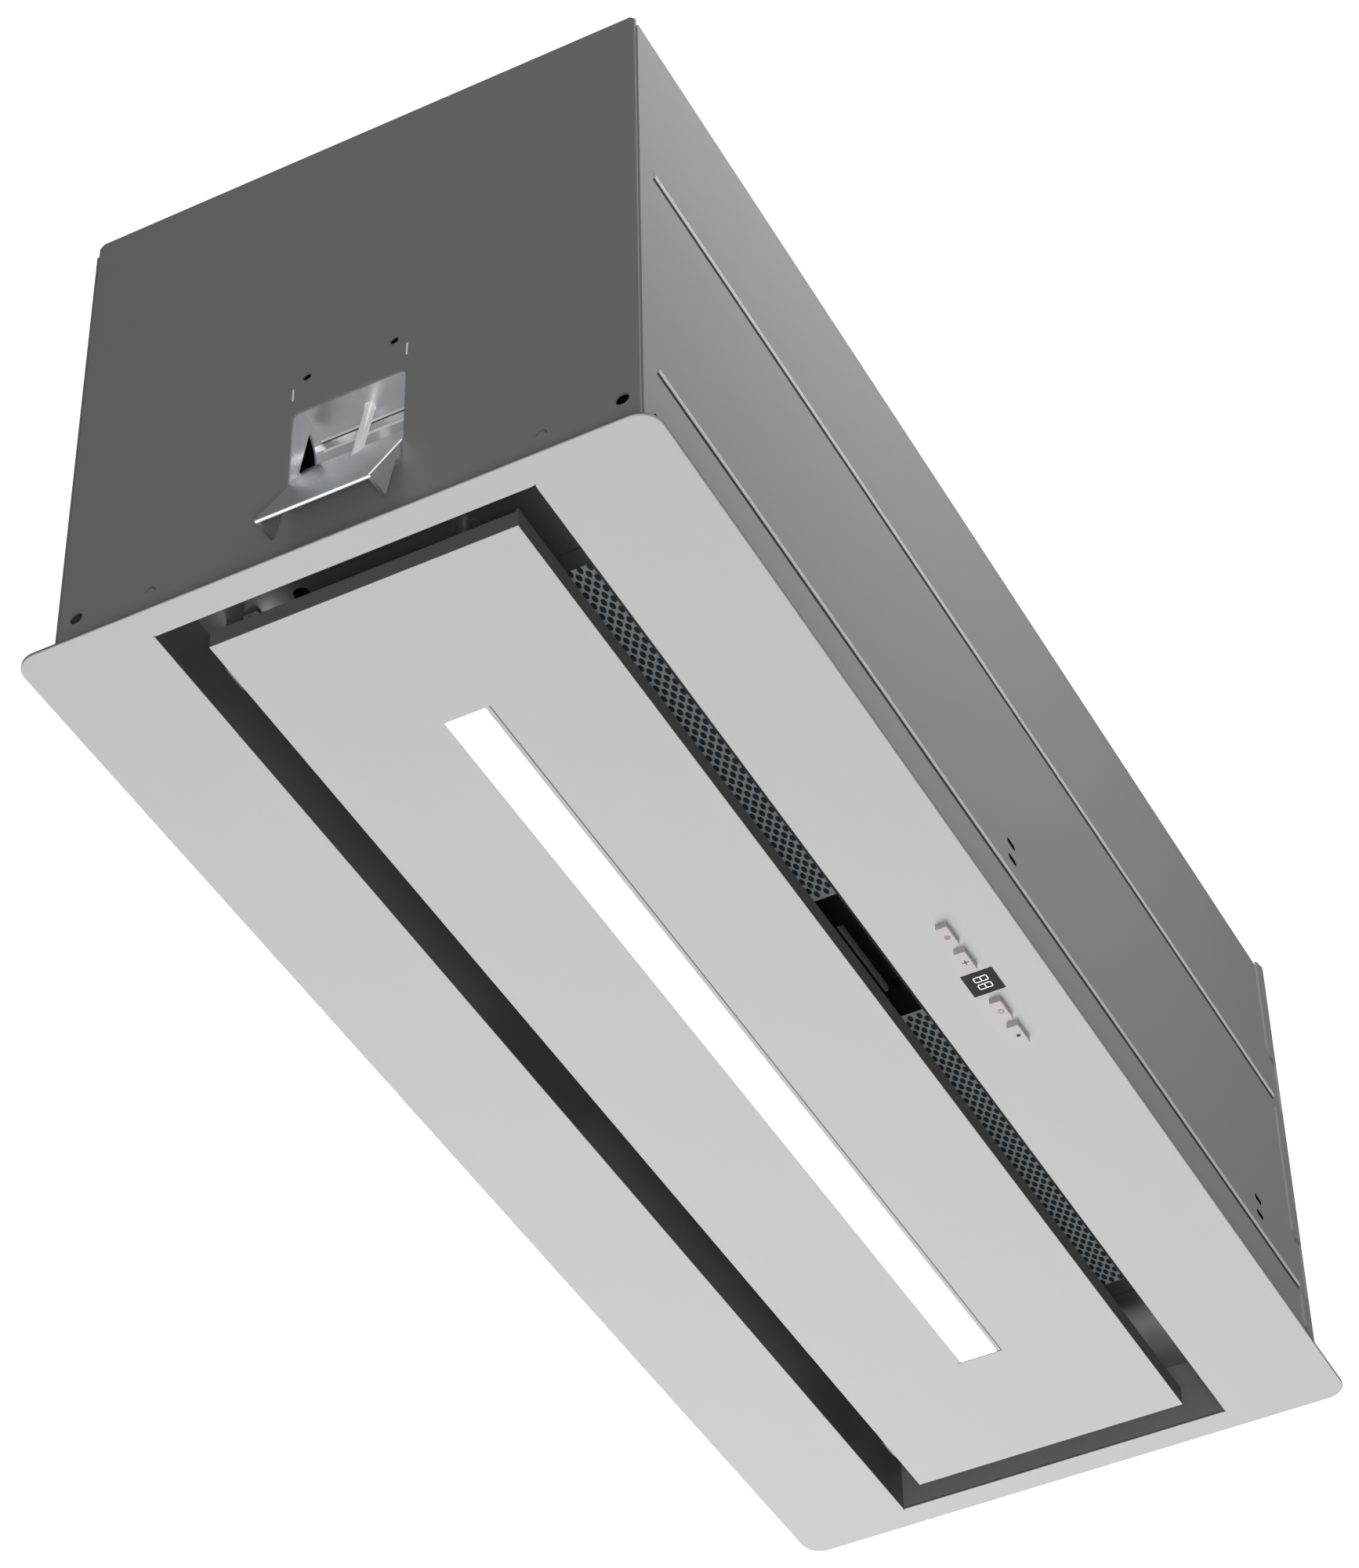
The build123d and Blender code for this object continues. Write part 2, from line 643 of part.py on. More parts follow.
def bead(height, sink):
    """Form of a bead with sloping ends, its open back sunk into the sheet by the given depth."""
    back = sink - SHEET_Y
    crest = back - BEAD_RISE
    profile = polygon([
        (back, height + BEAD_UPPER_FOOT), (crest, height + BEAD_UPPER_CREST),
        (crest, height - BEAD_LOWER_CREST), (back, height - BEAD_LOWER_FOOT),
    ])
    reach = END_INNER_X - BEAD_END_INSET
    plan = polygon([
        (-reach, back), (reach, back), (reach - BEAD_END_SLOPE, crest), (BEAD_END_SLOPE - reach, crest),
    ])
    return along_x(profile, -reach, reach) & along_z(plan, height - BEAD_LOWER_FOOT, height + BEAD_UPPER_FOOT)


def long_sheet(slotted):
    """Front sheet with its foot, two beads, inward top flange and the lip that laps the near end plate."""
    path = [(LONG_SHEET_TOP_FLANGE - SHEET_Y, SHEET_TOP), (-SHEET_Y, SHEET_TOP)]
    path += [(-SHEET_Y, FRAME_SHEET), (LONG_SHEET_FOOT - SHEET_Y, FRAME_SHEET)]
    sheet = along_x(folded(path, LONG_SHEET), -END_INNER_X, END_INNER_X)
    lip_end = SHEET_SETBACK - END_OUTER_X
    sheet += block(lip_end, -END_INNER_X, -SHEET_Y, LONG_SHEET - SHEET_Y, FRAME_SHEET, SHEET_TOP)
    for height in BEAD_HEIGHTS:
        sheet += bead(height, 0)
        sheet -= bead(height, LONG_SHEET)
    if slotted:
        for x in SLOT_PLACES:
            for z in SLOT_HEIGHTS:
                slot = Pos(x, z) * SlotOverall(SLOT_LENGTH, SLOT_WIDTH)
                sheet -= along_y(slot, -SHEET_Y - CUT_PAST, LONG_SHEET - SHEET_Y + CUT_PAST)
    for x in top_screw_places():
        sheet -= rod_z(SCREW_RADIUS, SHEET_TOP - LONG_SHEET - CUT_PAST, SHEET_TOP + CUT_PAST, x, TOP_SCREW_Y)
    return sheet


def top_screw_places():
    """X places of the screws that hold the top plate."""
    reach = END_INNER_X - TOP_SCREW_INSET
    pitch = 2 * reach / (TOP_SCREW_COUNT - 1)
    return [step * pitch - reach for step in range(TOP_SCREW_COUNT)]


def collar_screw_places():
    """Places of the collar's screws on their circle."""
    spread = PolarLocations(COLLAR_RADIUS + COLLAR_SCREW_OFFSET, COLLAR_SCREW_COUNT, 180 / COLLAR_SCREW_COUNT)
    return [spot.position for spot in spread]


def top_plate():
    """Flat top plate with the outlet hole over the scroll's neck, the gland's hole and screw holes."""
    face = Rectangle(2 * END_INNER_X, 2 * SHEET_Y)
    face -= Rectangle(2 * SCROLL_HALF_WIDTH, 2 * OUTLET_HALF_DEPTH) & Circle(COLLAR_BORE)
    face -= Pos(GLAND_X, GLAND_Y) * Circle(GLAND_RADIUS)
    for x in top_screw_places():
        for y in (TOP_SCREW_Y, -TOP_SCREW_Y):
            face -= Pos(x, y) * Circle(SCREW_RADIUS)
    for spot in collar_screw_places():
        face -= Pos(spot.X, spot.Y) * Circle(SCREW_RADIUS)
    return along_z(face, SHEET_TOP, HOUSING_TOP)


# Outlet collar and non-return flaps


def outlet_collar():
    """Round duct collar with a screw flange, an inner ledge and holes for the flap pin."""
    flange = COLLAR_RADIUS + COLLAR_FLANGE_WIDTH
    flange_top = HOUSING_TOP + COLLAR_FLANGE_HEIGHT
    collar = turned_z([
        (COLLAR_BORE, HOUSING_TOP), (flange, HOUSING_TOP), (flange, flange_top),
        (COLLAR_RADIUS, flange_top), (COLLAR_RADIUS, COLLAR_TOP - COLLAR_LEAD_IN),
        (COLLAR_RADIUS - COLLAR_LEAD_IN, COLLAR_TOP), (COLLAR_BORE, COLLAR_TOP),
        (COLLAR_BORE, LEDGE_TOP), (COLLAR_BORE - LEDGE_DEPTH, LEDGE_TOP),
        (COLLAR_BORE - LEDGE_DEPTH, LEDGE_TOP - LEDGE_HEIGHT), (COLLAR_BORE, LEDGE_TOP - LEDGE_HEIGHT),
    ])
    reach = COLLAR_RADIUS + CUT_PAST
    collar -= rod_y(FLAP_PIN_RADIUS, -reach, reach, 0, FLAP_PIN_Z)
    for spot in collar_screw_places():
        collar -= rod_z(SCREW_RADIUS, HOUSING_TOP - CUT_PAST, flange_top + CUT_PAST, spot.X, spot.Y)
    return collar


def flap_pin():
    """Pin across the collar that carries both flaps."""
    return rod_y(FLAP_PIN_RADIUS, -COLLAR_RADIUS, COLLAR_RADIUS, 0, FLAP_PIN_Z)


def flap(side, first):
    """Half-round flap with two knuckles; side -1 lies towards the near end."""
    inner_x = FLAP_KNUCKLE_RADIUS + 2 * BODY_GAP
    low = LEDGE_TOP + BODY_GAP
    half = Pos(side * (inner_x + FLAP_RADIUS / 2), 0) * Rectangle(FLAP_RADIUS, 2 * FLAP_RADIUS)
    plate = along_z(Circle(FLAP_RADIUS) & half, low, low + FLAP_THICKNESS)
    for step in (first, first + 2):
        middle = (step - 1.5) * (FLAP_KNUCKLE_LENGTH + FLAP_KNUCKLE_GAP)
        y0 = middle - FLAP_KNUCKLE_LENGTH / 2
        y1 = middle + FLAP_KNUCKLE_LENGTH / 2
        plate += block(0, side * (inner_x + FLAP_THICKNESS), y0, y1, low, low + FLAP_THICKNESS)
        plate += rod_y(FLAP_KNUCKLE_RADIUS, y0, y1, 0, FLAP_PIN_Z)
    bore = rod_y(FLAP_PIN_RADIUS + RUNNING_GAP, -FLAP_RADIUS, FLAP_RADIUS, 0, FLAP_PIN_Z)
    return plate - bore


# Clamps at the near end; the far end mirrors them

SCREW_FRAME = Plane(
    origin=(-END_INNER_X - SCREW_CEILING[0], 0, SCREW_CEILING[1]),
    x_dir=(cos(radians(SCREW_TILT)), 0, -sin(radians(SCREW_TILT))),
    z_dir=(sin(radians(SCREW_TILT)), 0, cos(radians(SCREW_TILT))),
)


def at_end(point):
    """Point given by its distance outwards from the end wall, placed at the near end."""
    return (-END_INNER_X - point[0], point[1])


def ceiling_z(x):
    """Height of the pocket's sloping ceiling at an X place."""
    start_x, start_z = at_end(SCREW_CEILING)
    return start_z - (x - start_x) * tan(radians(SCREW_TILT))


def clamp_pocket():
    """Folded pocket behind the end plate's window, with guide cut-outs in its sides."""
    front = -END_INNER_X
    back = front + POCKET_DEPTH
    crest = back - POCKET_BEAD_RISE
    half_bead = POCKET_BEAD_WIDTH / 2
    path = [(front, ceiling_z(front) + POCKET_TOP_LIP), (front, ceiling_z(front)), (back, ceiling_z(back))]
    path += [(back, POCKET_BEAD_Z + half_bead), (crest, POCKET_BEAD_Z + half_bead / 2)]
    path += [(crest, POCKET_BEAD_Z - half_bead / 2), (back, POCKET_BEAD_Z - half_bead)]
    path += [(back, POCKET_FLOOR_Z), (front, POCKET_FLOOR_Z), (front, POCKET_FLOOR_Z - POCKET_LIP)]
    outer = POCKET_HALF_WIDTH + POCKET_SHEET
    pocket = along_y(folded(path, POCKET_SHEET), -outer, outer)
    side_outline = polygon([
        (front, POCKET_FLOOR_Z), (front, ceiling_z(front)), (back, ceiling_z(back)),
        (back, POCKET_FLOOR_Z),
    ])
    guide = Line(at_end(GUIDE_BOTTOM), at_end(GUIDE_TOP))
    guide += ThreePointArc(at_end(GUIDE_TOP), at_end(GUIDE_BELLY), at_end(GUIDE_HEEL))
    guide += Line(at_end(GUIDE_HEEL), at_end(GUIDE_BOTTOM))
    side_outline -= make_face(guide)
    low = SLIT_BOTTOM + BODY_GAP
    high = SLIT_TOP - BODY_GAP
    side_outline += polygon([
        (front - END_SHEET, low), (front - END_SHEET, high),
        (front + POCKET_SHEET, high), (front + POCKET_SHEET, low),
    ])
    for side in (-1, 1):
        start = min(side * POCKET_HALF_WIDTH, side * outer)
        pocket += along_y(side_outline, start, start + POCKET_SHEET)
    pocket -= SCREW_FRAME * Cylinder(CLAMP_SCREW_RADIUS + HOLE_GAP, 2 * CLAMP_HEAD_RADIUS)
    return pocket


def clamp_hook():
    """Clamp hook: sloping web, triangular ears at both sides and a cross tab for the nut."""
    half = HOOK_WIDTH / 2
    hook = along_y(folded([at_end(HOOK_TOP), at_end(HOOK_EDGE)], HOOK_SHEET), -half, half)
    ear_points = (HOOK_TOP, HOOK_EDGE, EAR_TIP, EAR_WAIST, EAR_SILL, EAR_HEEL, EAR_CREST)
    ear = polygon([at_end(point) for point in ear_points])
    hook += along_y(ear, -half, HOOK_SHEET - half)
    hook += along_y(ear, half - HOOK_SHEET, half)
    tab_length = HOOK_TAB_DEPTH + HOOK_TAB_REACH
    tab_middle = (HOOK_TAB_DEPTH - HOOK_TAB_REACH) / 2
    tab = Pos(tab_middle, 0, -HOOK_TAB_DROP) * Box(tab_length, HOOK_WIDTH - HOOK_SHEET, HOOK_SHEET)
    hook += SCREW_FRAME * tab
    passage = Cylinder(CLAMP_SCREW_RADIUS + HOLE_GAP, 2 * HOOK_TAB_DROP)
    hook -= SCREW_FRAME * Pos(0, 0, -HOOK_TAB_DROP) * passage
    return hook


def clamp_nut():
    """Square nut under the hook's cross tab."""
    nut = Box(NUT_WIDTH, NUT_WIDTH, NUT_HEIGHT) - Cylinder(CLAMP_SCREW_RADIUS + RUNNING_GAP, NUT_HEIGHT)
    drop = HOOK_TAB_DROP + (HOOK_SHEET + NUT_HEIGHT) / 2
    return SCREW_FRAME * Pos(0, 0, -drop) * nut


def clamp_screw():
    """Clamp screw with a socket head above the pocket's ceiling."""
    seat = POCKET_SHEET + BODY_GAP
    shank = Pos(0, 0, (seat - CLAMP_SCREW_DROP) / 2) * Cylinder(CLAMP_SCREW_RADIUS, seat + CLAMP_SCREW_DROP)
    head = Pos(0, 0, seat + CLAMP_HEAD_HEIGHT / 2) * Cylinder(CLAMP_HEAD_RADIUS, CLAMP_HEAD_HEIGHT)
    socket = Pos(0, 0, seat + CLAMP_HEAD_HEIGHT - CLAMP_SOCKET_DEPTH)
    socket *= extrude(RegularPolygon(CLAMP_SOCKET_RADIUS, 6), CLAMP_SOCKET_DEPTH)
    return SCREW_FRAME * (shank + head - socket)


# Centre panel and its light strip


def centre_panel():
    """Tray with turned-up walls, hinge notches and the slot for the light strip."""
    half_x = PANEL_LENGTH / 2
    half_y = PANEL_DEPTH / 2
    face = Rectangle(PANEL_LENGTH, PANEL_DEPTH)
    face -= Rectangle(LIGHT_LENGTH + HOLE_GAP, LIGHT_WIDTH + HOLE_GAP)
    panel = along_z(face, 0, PANEL_SHEET)
    for side in (-1, 1):
        panel += block(-half_x, half_x, side * (half_y - PANEL_SHEET), side * half_y, 0, PANEL_WALL)
    notch_half = HINGE_OUTER + HINGE_HEAD_LENGTH + 2 * BODY_GAP
    for end in (-1, 1):
        panel += block(
            end * (half_x - PANEL_SHEET), end * half_x,
            PANEL_SHEET - half_y, half_y - PANEL_SHEET, 0, PANEL_END_WALL,
        )
        panel -= block(
            end * HINGE_X - notch_half, end * HINGE_X + notch_half, half_y - 2 * PANEL_SHEET, half_y,
            HINGE_Z - HINGE_KNUCKLE_RADIUS - CUT_PAST, PANEL_WALL + CUT_PAST,
        )
    return panel


def light_lens():
    """Long opal lens that fills the slot, with a flange that lies on the tray."""
    half = LIGHT_WIDTH / 2
    top = PANEL_SHEET + LENS_FLANGE_HEIGHT
    outline = polygon([
        (-half, 0), (half, 0), (half, PANEL_SHEET), (LENS_HALF, PANEL_SHEET),
        (LENS_HALF, top), (-LENS_HALF, top), (-LENS_HALF, PANEL_SHEET), (-half, PANEL_SHEET),
    ])
    return along_x(outline, -LIGHT_LENGTH / 2, LIGHT_LENGTH / 2)


def light_channel():
    """Aluminium channel over the lens."""
    half = LENS_HALF + LIGHT_CHANNEL_GAP
    foot = half + LIGHT_CHANNEL_FOOT
    path = [(-foot, PANEL_SHEET), (-half, PANEL_SHEET), (-half, LIGHT_CHANNEL_TOP)]
    path += [(half, LIGHT_CHANNEL_TOP), (half, PANEL_SHEET), (foot, PANEL_SHEET)]
    reach = LIGHT_LENGTH / 2 + LIGHT_CHANNEL_OVERHANG
    return along_x(folded(path, LIGHT_CHANNEL_SHEET), -reach, reach)


def light_board():
    """Light board under the channel's roof with its row of diodes."""
    low = LIGHT_CHANNEL_TOP - LIGHT_BOARD_THICKNESS
    reach = LIGHT_BOARD_LENGTH / 2
    pieces = [block(-reach, reach, -LIGHT_BOARD_WIDTH / 2, LIGHT_BOARD_WIDTH / 2, low, LIGHT_CHANNEL_TOP)]
    half = DIODE_SIZE / 2
    pitch = LIGHT_BOARD_LENGTH / DIODE_COUNT
    for step in range(DIODE_COUNT):
        x = (step + 0.5) * pitch - reach
        pieces.append(block(x - half, x + half, -half, half, low - DIODE_HEIGHT, low))
    return group(pieces)


# Panel hinges and catches


def hinge_leaves():
    """Leaves on the tray, each with a bored knuckle."""
    arm_low = HINGE_Z - HINGE_LEAF_SHEET / 2
    arm_high = HINGE_Z + HINGE_LEAF_SHEET / 2
    fold = HINGE_Y - HINGE_LEAF_REACH
    leaf = Pos(HINGE_Y, HINGE_Z) * Circle(HINGE_KNUCKLE_RADIUS)
    leaf += folded(
        [(fold - HINGE_LEAF_FOOT, PANEL_SHEET), (fold, PANEL_SHEET), (fold, arm_low), (HINGE_Y, arm_low)],
        HINGE_LEAF_SHEET,
    )
    leaf -= Pos(HINGE_Y, HINGE_Z) * Circle(HINGE_PIN_RADIUS + RUNNING_GAP)
    start = -HINGE_X - HINGE_KNUCKLE_LENGTH / 2
    return group(both_ends(along_x(leaf, start, start + HINGE_KNUCKLE_LENGTH)))


def hinge_brackets():
    """Brackets under the recess ceiling with two cheeks each."""
    cheek = Pos(HINGE_Y, HINGE_Z) * Circle(HINGE_KNUCKLE_RADIUS)
    cheek += polygon([
        (HINGE_Y - HINGE_KNUCKLE_RADIUS, HINGE_Z), (HINGE_Y + HINGE_KNUCKLE_RADIUS, HINGE_Z),
        (HINGE_Y + HINGE_KNUCKLE_RADIUS, CEILING_Z), (HINGE_Y - HINGE_KNUCKLE_RADIUS, CEILING_Z),
    ])
    cheek -= Pos(HINGE_Y, HINGE_Z) * Circle(HINGE_PIN_RADIUS)
    inner = HINGE_OUTER - HINGE_CHEEK
    bracket = along_x(cheek, -HINGE_X - HINGE_OUTER, -HINGE_X - inner)
    bracket += along_x(cheek, -HINGE_X + inner, -HINGE_X + HINGE_OUTER)
    rear = HINGE_Y + HINGE_KNUCKLE_RADIUS
    bracket += block(
        -HINGE_X - HINGE_OUTER, -HINGE_X + HINGE_OUTER, rear - HINGE_FOOT_DEPTH, rear,
        CEILING_Z - HINGE_CHEEK, CEILING_Z,
    )
    return group(both_ends(bracket))


def hinge_pins():
    """Riveted hinge pins with a head at each end."""
    pin = rod_x(HINGE_PIN_RADIUS, -HINGE_X - HINGE_OUTER, -HINGE_X + HINGE_OUTER, HINGE_Y, HINGE_Z)
    for side in (-1, 1):
        start = -HINGE_X + side * HINGE_OUTER
        finish = start + side * HINGE_HEAD_LENGTH
        pin += rod_x(HINGE_HEAD_RADIUS, min(start, finish), max(start, finish), HINGE_Y, HINGE_Z)
    return group(both_ends(pin))


def catch_magnets():
    """Magnet holders that hang from the recess ceiling."""
    holder = rod_z(MAGNET_RADIUS, CATCH_BOTTOM, CATCH_BOTTOM + MAGNET_HEIGHT, -CATCH_X, CATCH_Y)
    holder = chamfer(holder.edges(), BODY_GAP)
    holder += rod_z(CATCH_STEM_RADIUS, CATCH_BOTTOM + MAGNET_HEIGHT, CEILING_Z, -CATCH_X, CATCH_Y)
    holder += rod_z(CATCH_BASE_RADIUS, CEILING_Z - CATCH_BASE_HEIGHT, CEILING_Z, -CATCH_X, CATCH_Y)
    return group(both_ends(holder))


def catch_strikes():
    """Steel strikes on the tray, one under each magnet."""
    strike = rod_z(STRIKE_FOOT_RADIUS, PANEL_SHEET, 2 * PANEL_SHEET, -CATCH_X, CATCH_Y)
    strike += rod_z(STRIKE_RADIUS, 2 * PANEL_SHEET, CATCH_BOTTOM - BODY_GAP, -CATCH_X, CATCH_Y)
    return group(both_ends(strike))


# Grease filter


def filter_frame():
    """Frame with rounded corners, folded in over the mesh below and above."""
    outer = RectangleRounded(FILTER_LENGTH, FILTER_DEPTH, FILTER_CORNER)
    inner = Rectangle(FILTER_LENGTH - 2 * FILTER_SHEET, FILTER_DEPTH - 2 * FILTER_SHEET)
    window = Rectangle(FILTER_WINDOW_LENGTH, FILTER_WINDOW_DEPTH)
    frame = along_z(outer, CEILING_Z, FILTER_TOP)
    frame -= along_z(inner, CEILING_Z + FILTER_SHEET, FILTER_TOP - FILTER_SHEET)
    frame -= along_z(window, CEILING_Z, FILTER_TOP)
    return frame


def filter_mesh():
    """Three waved mesh layers on each side of the grip."""
    start = GRIP_ZONE / 2 + BODY_GAP
    waves = int((FILTER_LENGTH / 2 - FILTER_SHEET - start) / MESH_WAVE_LENGTH)
    layers = []
    half_y = FILTER_DEPTH / 2 - FILTER_SHEET - BODY_GAP
    for level in MESH_LEVELS:
        path = []
        for step in range(2 * waves + 1):
            rise = MESH_WAVE if step % 2 else 0
            path.append((start + step * MESH_WAVE_LENGTH / 2, CEILING_Z + level - MESH_WAVE + rise))
        layers += both_ends(along_y(folded(path, MESH_SHEET), -half_y, half_y))
    return group(layers)


def filter_grip():
    """Black moulding between the mesh halves, open above, with a finger pocket."""
    half_x = GRIP_ZONE / 2
    half_y = FILTER_WINDOW_DEPTH / 2 - BODY_GAP
    top = FILTER_TOP - FILTER_SHEET
    grip = block(-half_x, half_x, -half_y, half_y, CEILING_Z, top)
    grip -= block(
        GRIP_SHEET - half_x, half_x - GRIP_SHEET, GRIP_SHEET - half_y, half_y - GRIP_SHEET,
        CEILING_Z + GRIP_SHEET, top,
    )
    pocket_x = GRIP_POCKET_LENGTH / 2
    front = GRIP_SHEET - half_y
    rear = GRIP_Y + GRIP_POCKET_REACH
    wall_x = pocket_x + GRIP_SHEET
    pocket_top = CEILING_Z + GRIP_POCKET_HEIGHT
    grip += block(-wall_x, wall_x, -half_y, rear + GRIP_SHEET, CEILING_Z, pocket_top + GRIP_SHEET)
    grip -= block(-pocket_x, pocket_x, front, rear, CEILING_Z, pocket_top)
    return grip


def grip_bar():
    """Slim bar across the finger pocket."""
    half = GRIP_POCKET_LENGTH / 2
    return block(
        -half, half, GRIP_Y - GRIP_BAR_WIDTH / 2, GRIP_Y + GRIP_BAR_WIDTH / 2,
        CEILING_Z, CEILING_Z + GRIP_BAR_HEIGHT,
    )


def filter_clips():
    """Leaf springs on top of the recess ceiling that hold the filter's front edge."""
    edge = -FILTER_DEPTH / 2 - FILTER_GAP
    low = CEILING_Z + CHANNEL_SHEET
    path = [(edge - SPRING_CLIP_FOOT, low), (edge, low), (edge, FILTER_TOP - SPRING_CLIP_TIP_HEIGHT)]
    path.append((edge - SPRING_CLIP_TIP_LEAN, FILTER_TOP))
    start = -SPRING_CLIP_X - SPRING_CLIP_WIDTH / 2
    clip = along_x(folded(path, SPRING_CLIP_SHEET), start, start + SPRING_CLIP_WIDTH)
    return group(both_ends(clip))


# Keys, display and their housing


def key_housing():
    """Housing on the frame's back with a guide plate for keys and display."""
    half_x = KEY_HOUSING_LENGTH / 2
    half_y = KEY_HOUSING_DEPTH / 2
    wall = KEY_HOUSING_WALL
    housing = block(-half_x, half_x, -half_y, half_y, FRAME_SHEET, KEY_HOUSING_TOP)
    housing -= block(
        wall - half_x, half_x - wall, wall - half_y, half_y - wall, GUIDE_PLATE_TOP, KEY_HOUSING_TOP - wall
    )
    for x in KEY_PLACES:
        guide = Pos(x - CONTROL_X, 0) * Rectangle(WELL_LENGTH, WELL_DEPTH)
        housing -= along_z(guide, FRAME_SHEET, GUIDE_PLATE_TOP)
    housing -= along_z(display_outline(HOLE_GAP / 2), FRAME_SHEET, GUIDE_PLATE_TOP)
    return Pos(CONTROL_X, CONTROL_Y, 0) * housing


def key_cap(x):
    """Key with its retaining flange and the stem that reaches into the switch."""
    cap_top = KEY_FACE_Z + KEY_CAP_HEIGHT
    flange_top = cap_top + KEY_FLANGE_HEIGHT
    length = WELL_LENGTH - 2 * HOLE_GAP
    depth = WELL_DEPTH - 2 * HOLE_GAP
    cap = along_z(Rectangle(length, depth), KEY_FACE_Z, cap_top)
    flange = Rectangle(WELL_LENGTH + 2 * KEY_FLANGE, WELL_DEPTH + 2 * KEY_FLANGE)
    cap += along_z(flange, cap_top, flange_top)
    cap += rod_z(KEY_STEM_RADIUS, flange_top, KEY_STEM_TOP, 0, 0)
    return Pos(x, CONTROL_Y, 0) * cap


def control_board():
    """Circuit board with four bored push switches and the digit block below it."""
    board = block(-BOARD_LENGTH / 2, BOARD_LENGTH / 2, -BOARD_DEPTH / 2, BOARD_DEPTH / 2, 0, BOARD_THICKNESS)
    pieces = [Pos(CONTROL_X, CONTROL_Y, BOARD_Z) * board]
    half = SWITCH_SIZE / 2
    for x in KEY_PLACES:
        switch = block(-half, half, -half, half, SWITCH_BOTTOM, BOARD_Z)
        switch -= rod_z(SWITCH_BORE_RADIUS, SWITCH_BOTTOM, BOARD_Z - BODY_GAP, 0, 0)
        pieces.append(Pos(x, CONTROL_Y, 0) * switch)
    half_x = DIGIT_BLOCK_LENGTH / 2
    half_y = DIGIT_BLOCK_DEPTH / 2
    digits = block(-half_x, half_x, -half_y, half_y, DISPLAY_TOP, BOARD_Z)
    pieces.append(Pos(CONTROL_X, CONTROL_Y, 0) * digits)
    return group(pieces)


def display_window():
    """Black display window flush with the frame's face."""
    return Pos(CONTROL_X, CONTROL_Y, 0) * along_z(display_outline(0), 0, DISPLAY_TOP)


# Blower


def blower_point(radius, angle):
    """Point in Y and Z at a radius and an angle about the blower's axis."""
    return (BLOWER_Y + radius * cos(radians(angle)), BLOWER_Z + radius * sin(radians(angle)))


def scroll_points(extra):
    """Points along the volute from the tongue round to the outer outlet wall."""
    points = []
    sweep = 180 + SCROLL_START_ANGLE
    for step in range(2 * SCROLL_STEPS + 1):
        share = step / (2 * SCROLL_STEPS)
        radius = SCROLL_START_RADIUS + (SCROLL_END_RADIUS - SCROLL_START_RADIUS) * share
        points.append(blower_point(radius + extra, SCROLL_START_ANGLE - sweep * share))
    return points


def scroll_outline(extra):
    """Closed outline of the volute with its outlet neck, widened by the sheet."""
    points = scroll_points(extra)
    tongue = (OUTLET_HALF_DEPTH + extra, SHEET_TOP)
    outer = (points[-1][0], SHEET_TOP)
    curve = Line(tongue, points[0])
    for step in range(SCROLL_STEPS):
        curve += ThreePointArc(*points[2 * step:2 * step + 3])
    curve += Line(points[-1], outer)
    curve += Line(outer, tongue)
    return make_face(curve)


def scroll_wrap():
    """Volute wall with the outlet neck that ends under the top plate."""
    wrap = scroll_outline(SCROLL_SHEET) - scroll_outline(0)
    return along_x(wrap, -SCROLL_HALF_WIDTH, SCROLL_HALF_WIDTH)


def scroll_sides():
    """Two side plates with round inlets, tabs under the top plate and holes for the motor screws."""
    outline = scroll_outline(SCROLL_SHEET)
    outline -= Pos(BLOWER_Y, BLOWER_Z) * Circle(INLET_RADIUS)
    plain = along_x(outline, -SIDE_OUTER_X, -SCROLL_HALF_WIDTH)
    for y, z in grommet_places():
        outline -= Pos(y, z) * Circle(SCREW_RADIUS)
    drilled = along_x(outline, SCROLL_HALF_WIDTH, SIDE_OUTER_X)
    sides = []
    for end, plate in ((-1, plain), (1, drilled)):
        for y in (-SCROLL_TAB_Y, SCROLL_TAB_Y):
            plate += block(
                end * SCROLL_HALF_WIDTH, end * (SIDE_OUTER_X + SCROLL_TAB_WIDTH),
                y - SCROLL_TAB_LENGTH / 2, y + SCROLL_TAB_LENGTH / 2, SHEET_TOP - SIDE_SHEET, SHEET_TOP,
            )
        sides.append(plate)
    return group(sides)


def arm_angles():
    """Angles of the motor's arms about the blower's axis."""
    return [ARM_START_ANGLE + step * 360 / ARM_COUNT for step in range(ARM_COUNT)]


def grommet_places():
    """Centres of the motor grommets."""
    return [blower_point(GROMMET_PLACE, angle) for angle in arm_angles()]


def inlet_rings():
    """Bell-mouthed inlet rings, one on each side plate."""
    start = SIDE_OUTER_X
    low = start - BELL_DEPTH
    throat = BELL_THROAT_RADIUS
    outline = Polyline(
        (start - BELL_ROUND, throat + BELL_SHEET), (start, throat + BELL_ROUND + BELL_SHEET),
        (start, INLET_RADIUS + BELL_FLANGE_WIDTH), (start + BELL_SHEET, INLET_RADIUS + BELL_FLANGE_WIDTH),
        (start + BELL_SHEET, throat + BELL_ROUND + BELL_SHEET),
    )
    outline += ThreePointArc(
        (start + BELL_SHEET, throat + BELL_ROUND + BELL_SHEET),
        (start, throat + BELL_ROUND / 2), (start - BELL_ROUND, throat),
    )
    outline += Polyline(
        (start - BELL_ROUND, throat), (low, throat), (low, throat + BELL_SHEET),
        (start - BELL_ROUND, throat + BELL_SHEET),
    )
    ring = Pos(0, BLOWER_Y, BLOWER_Z) * revolve(Plane.XY * make_face(outline), Axis.X)
    return group([ring, mirror(ring, Plane.YZ)])


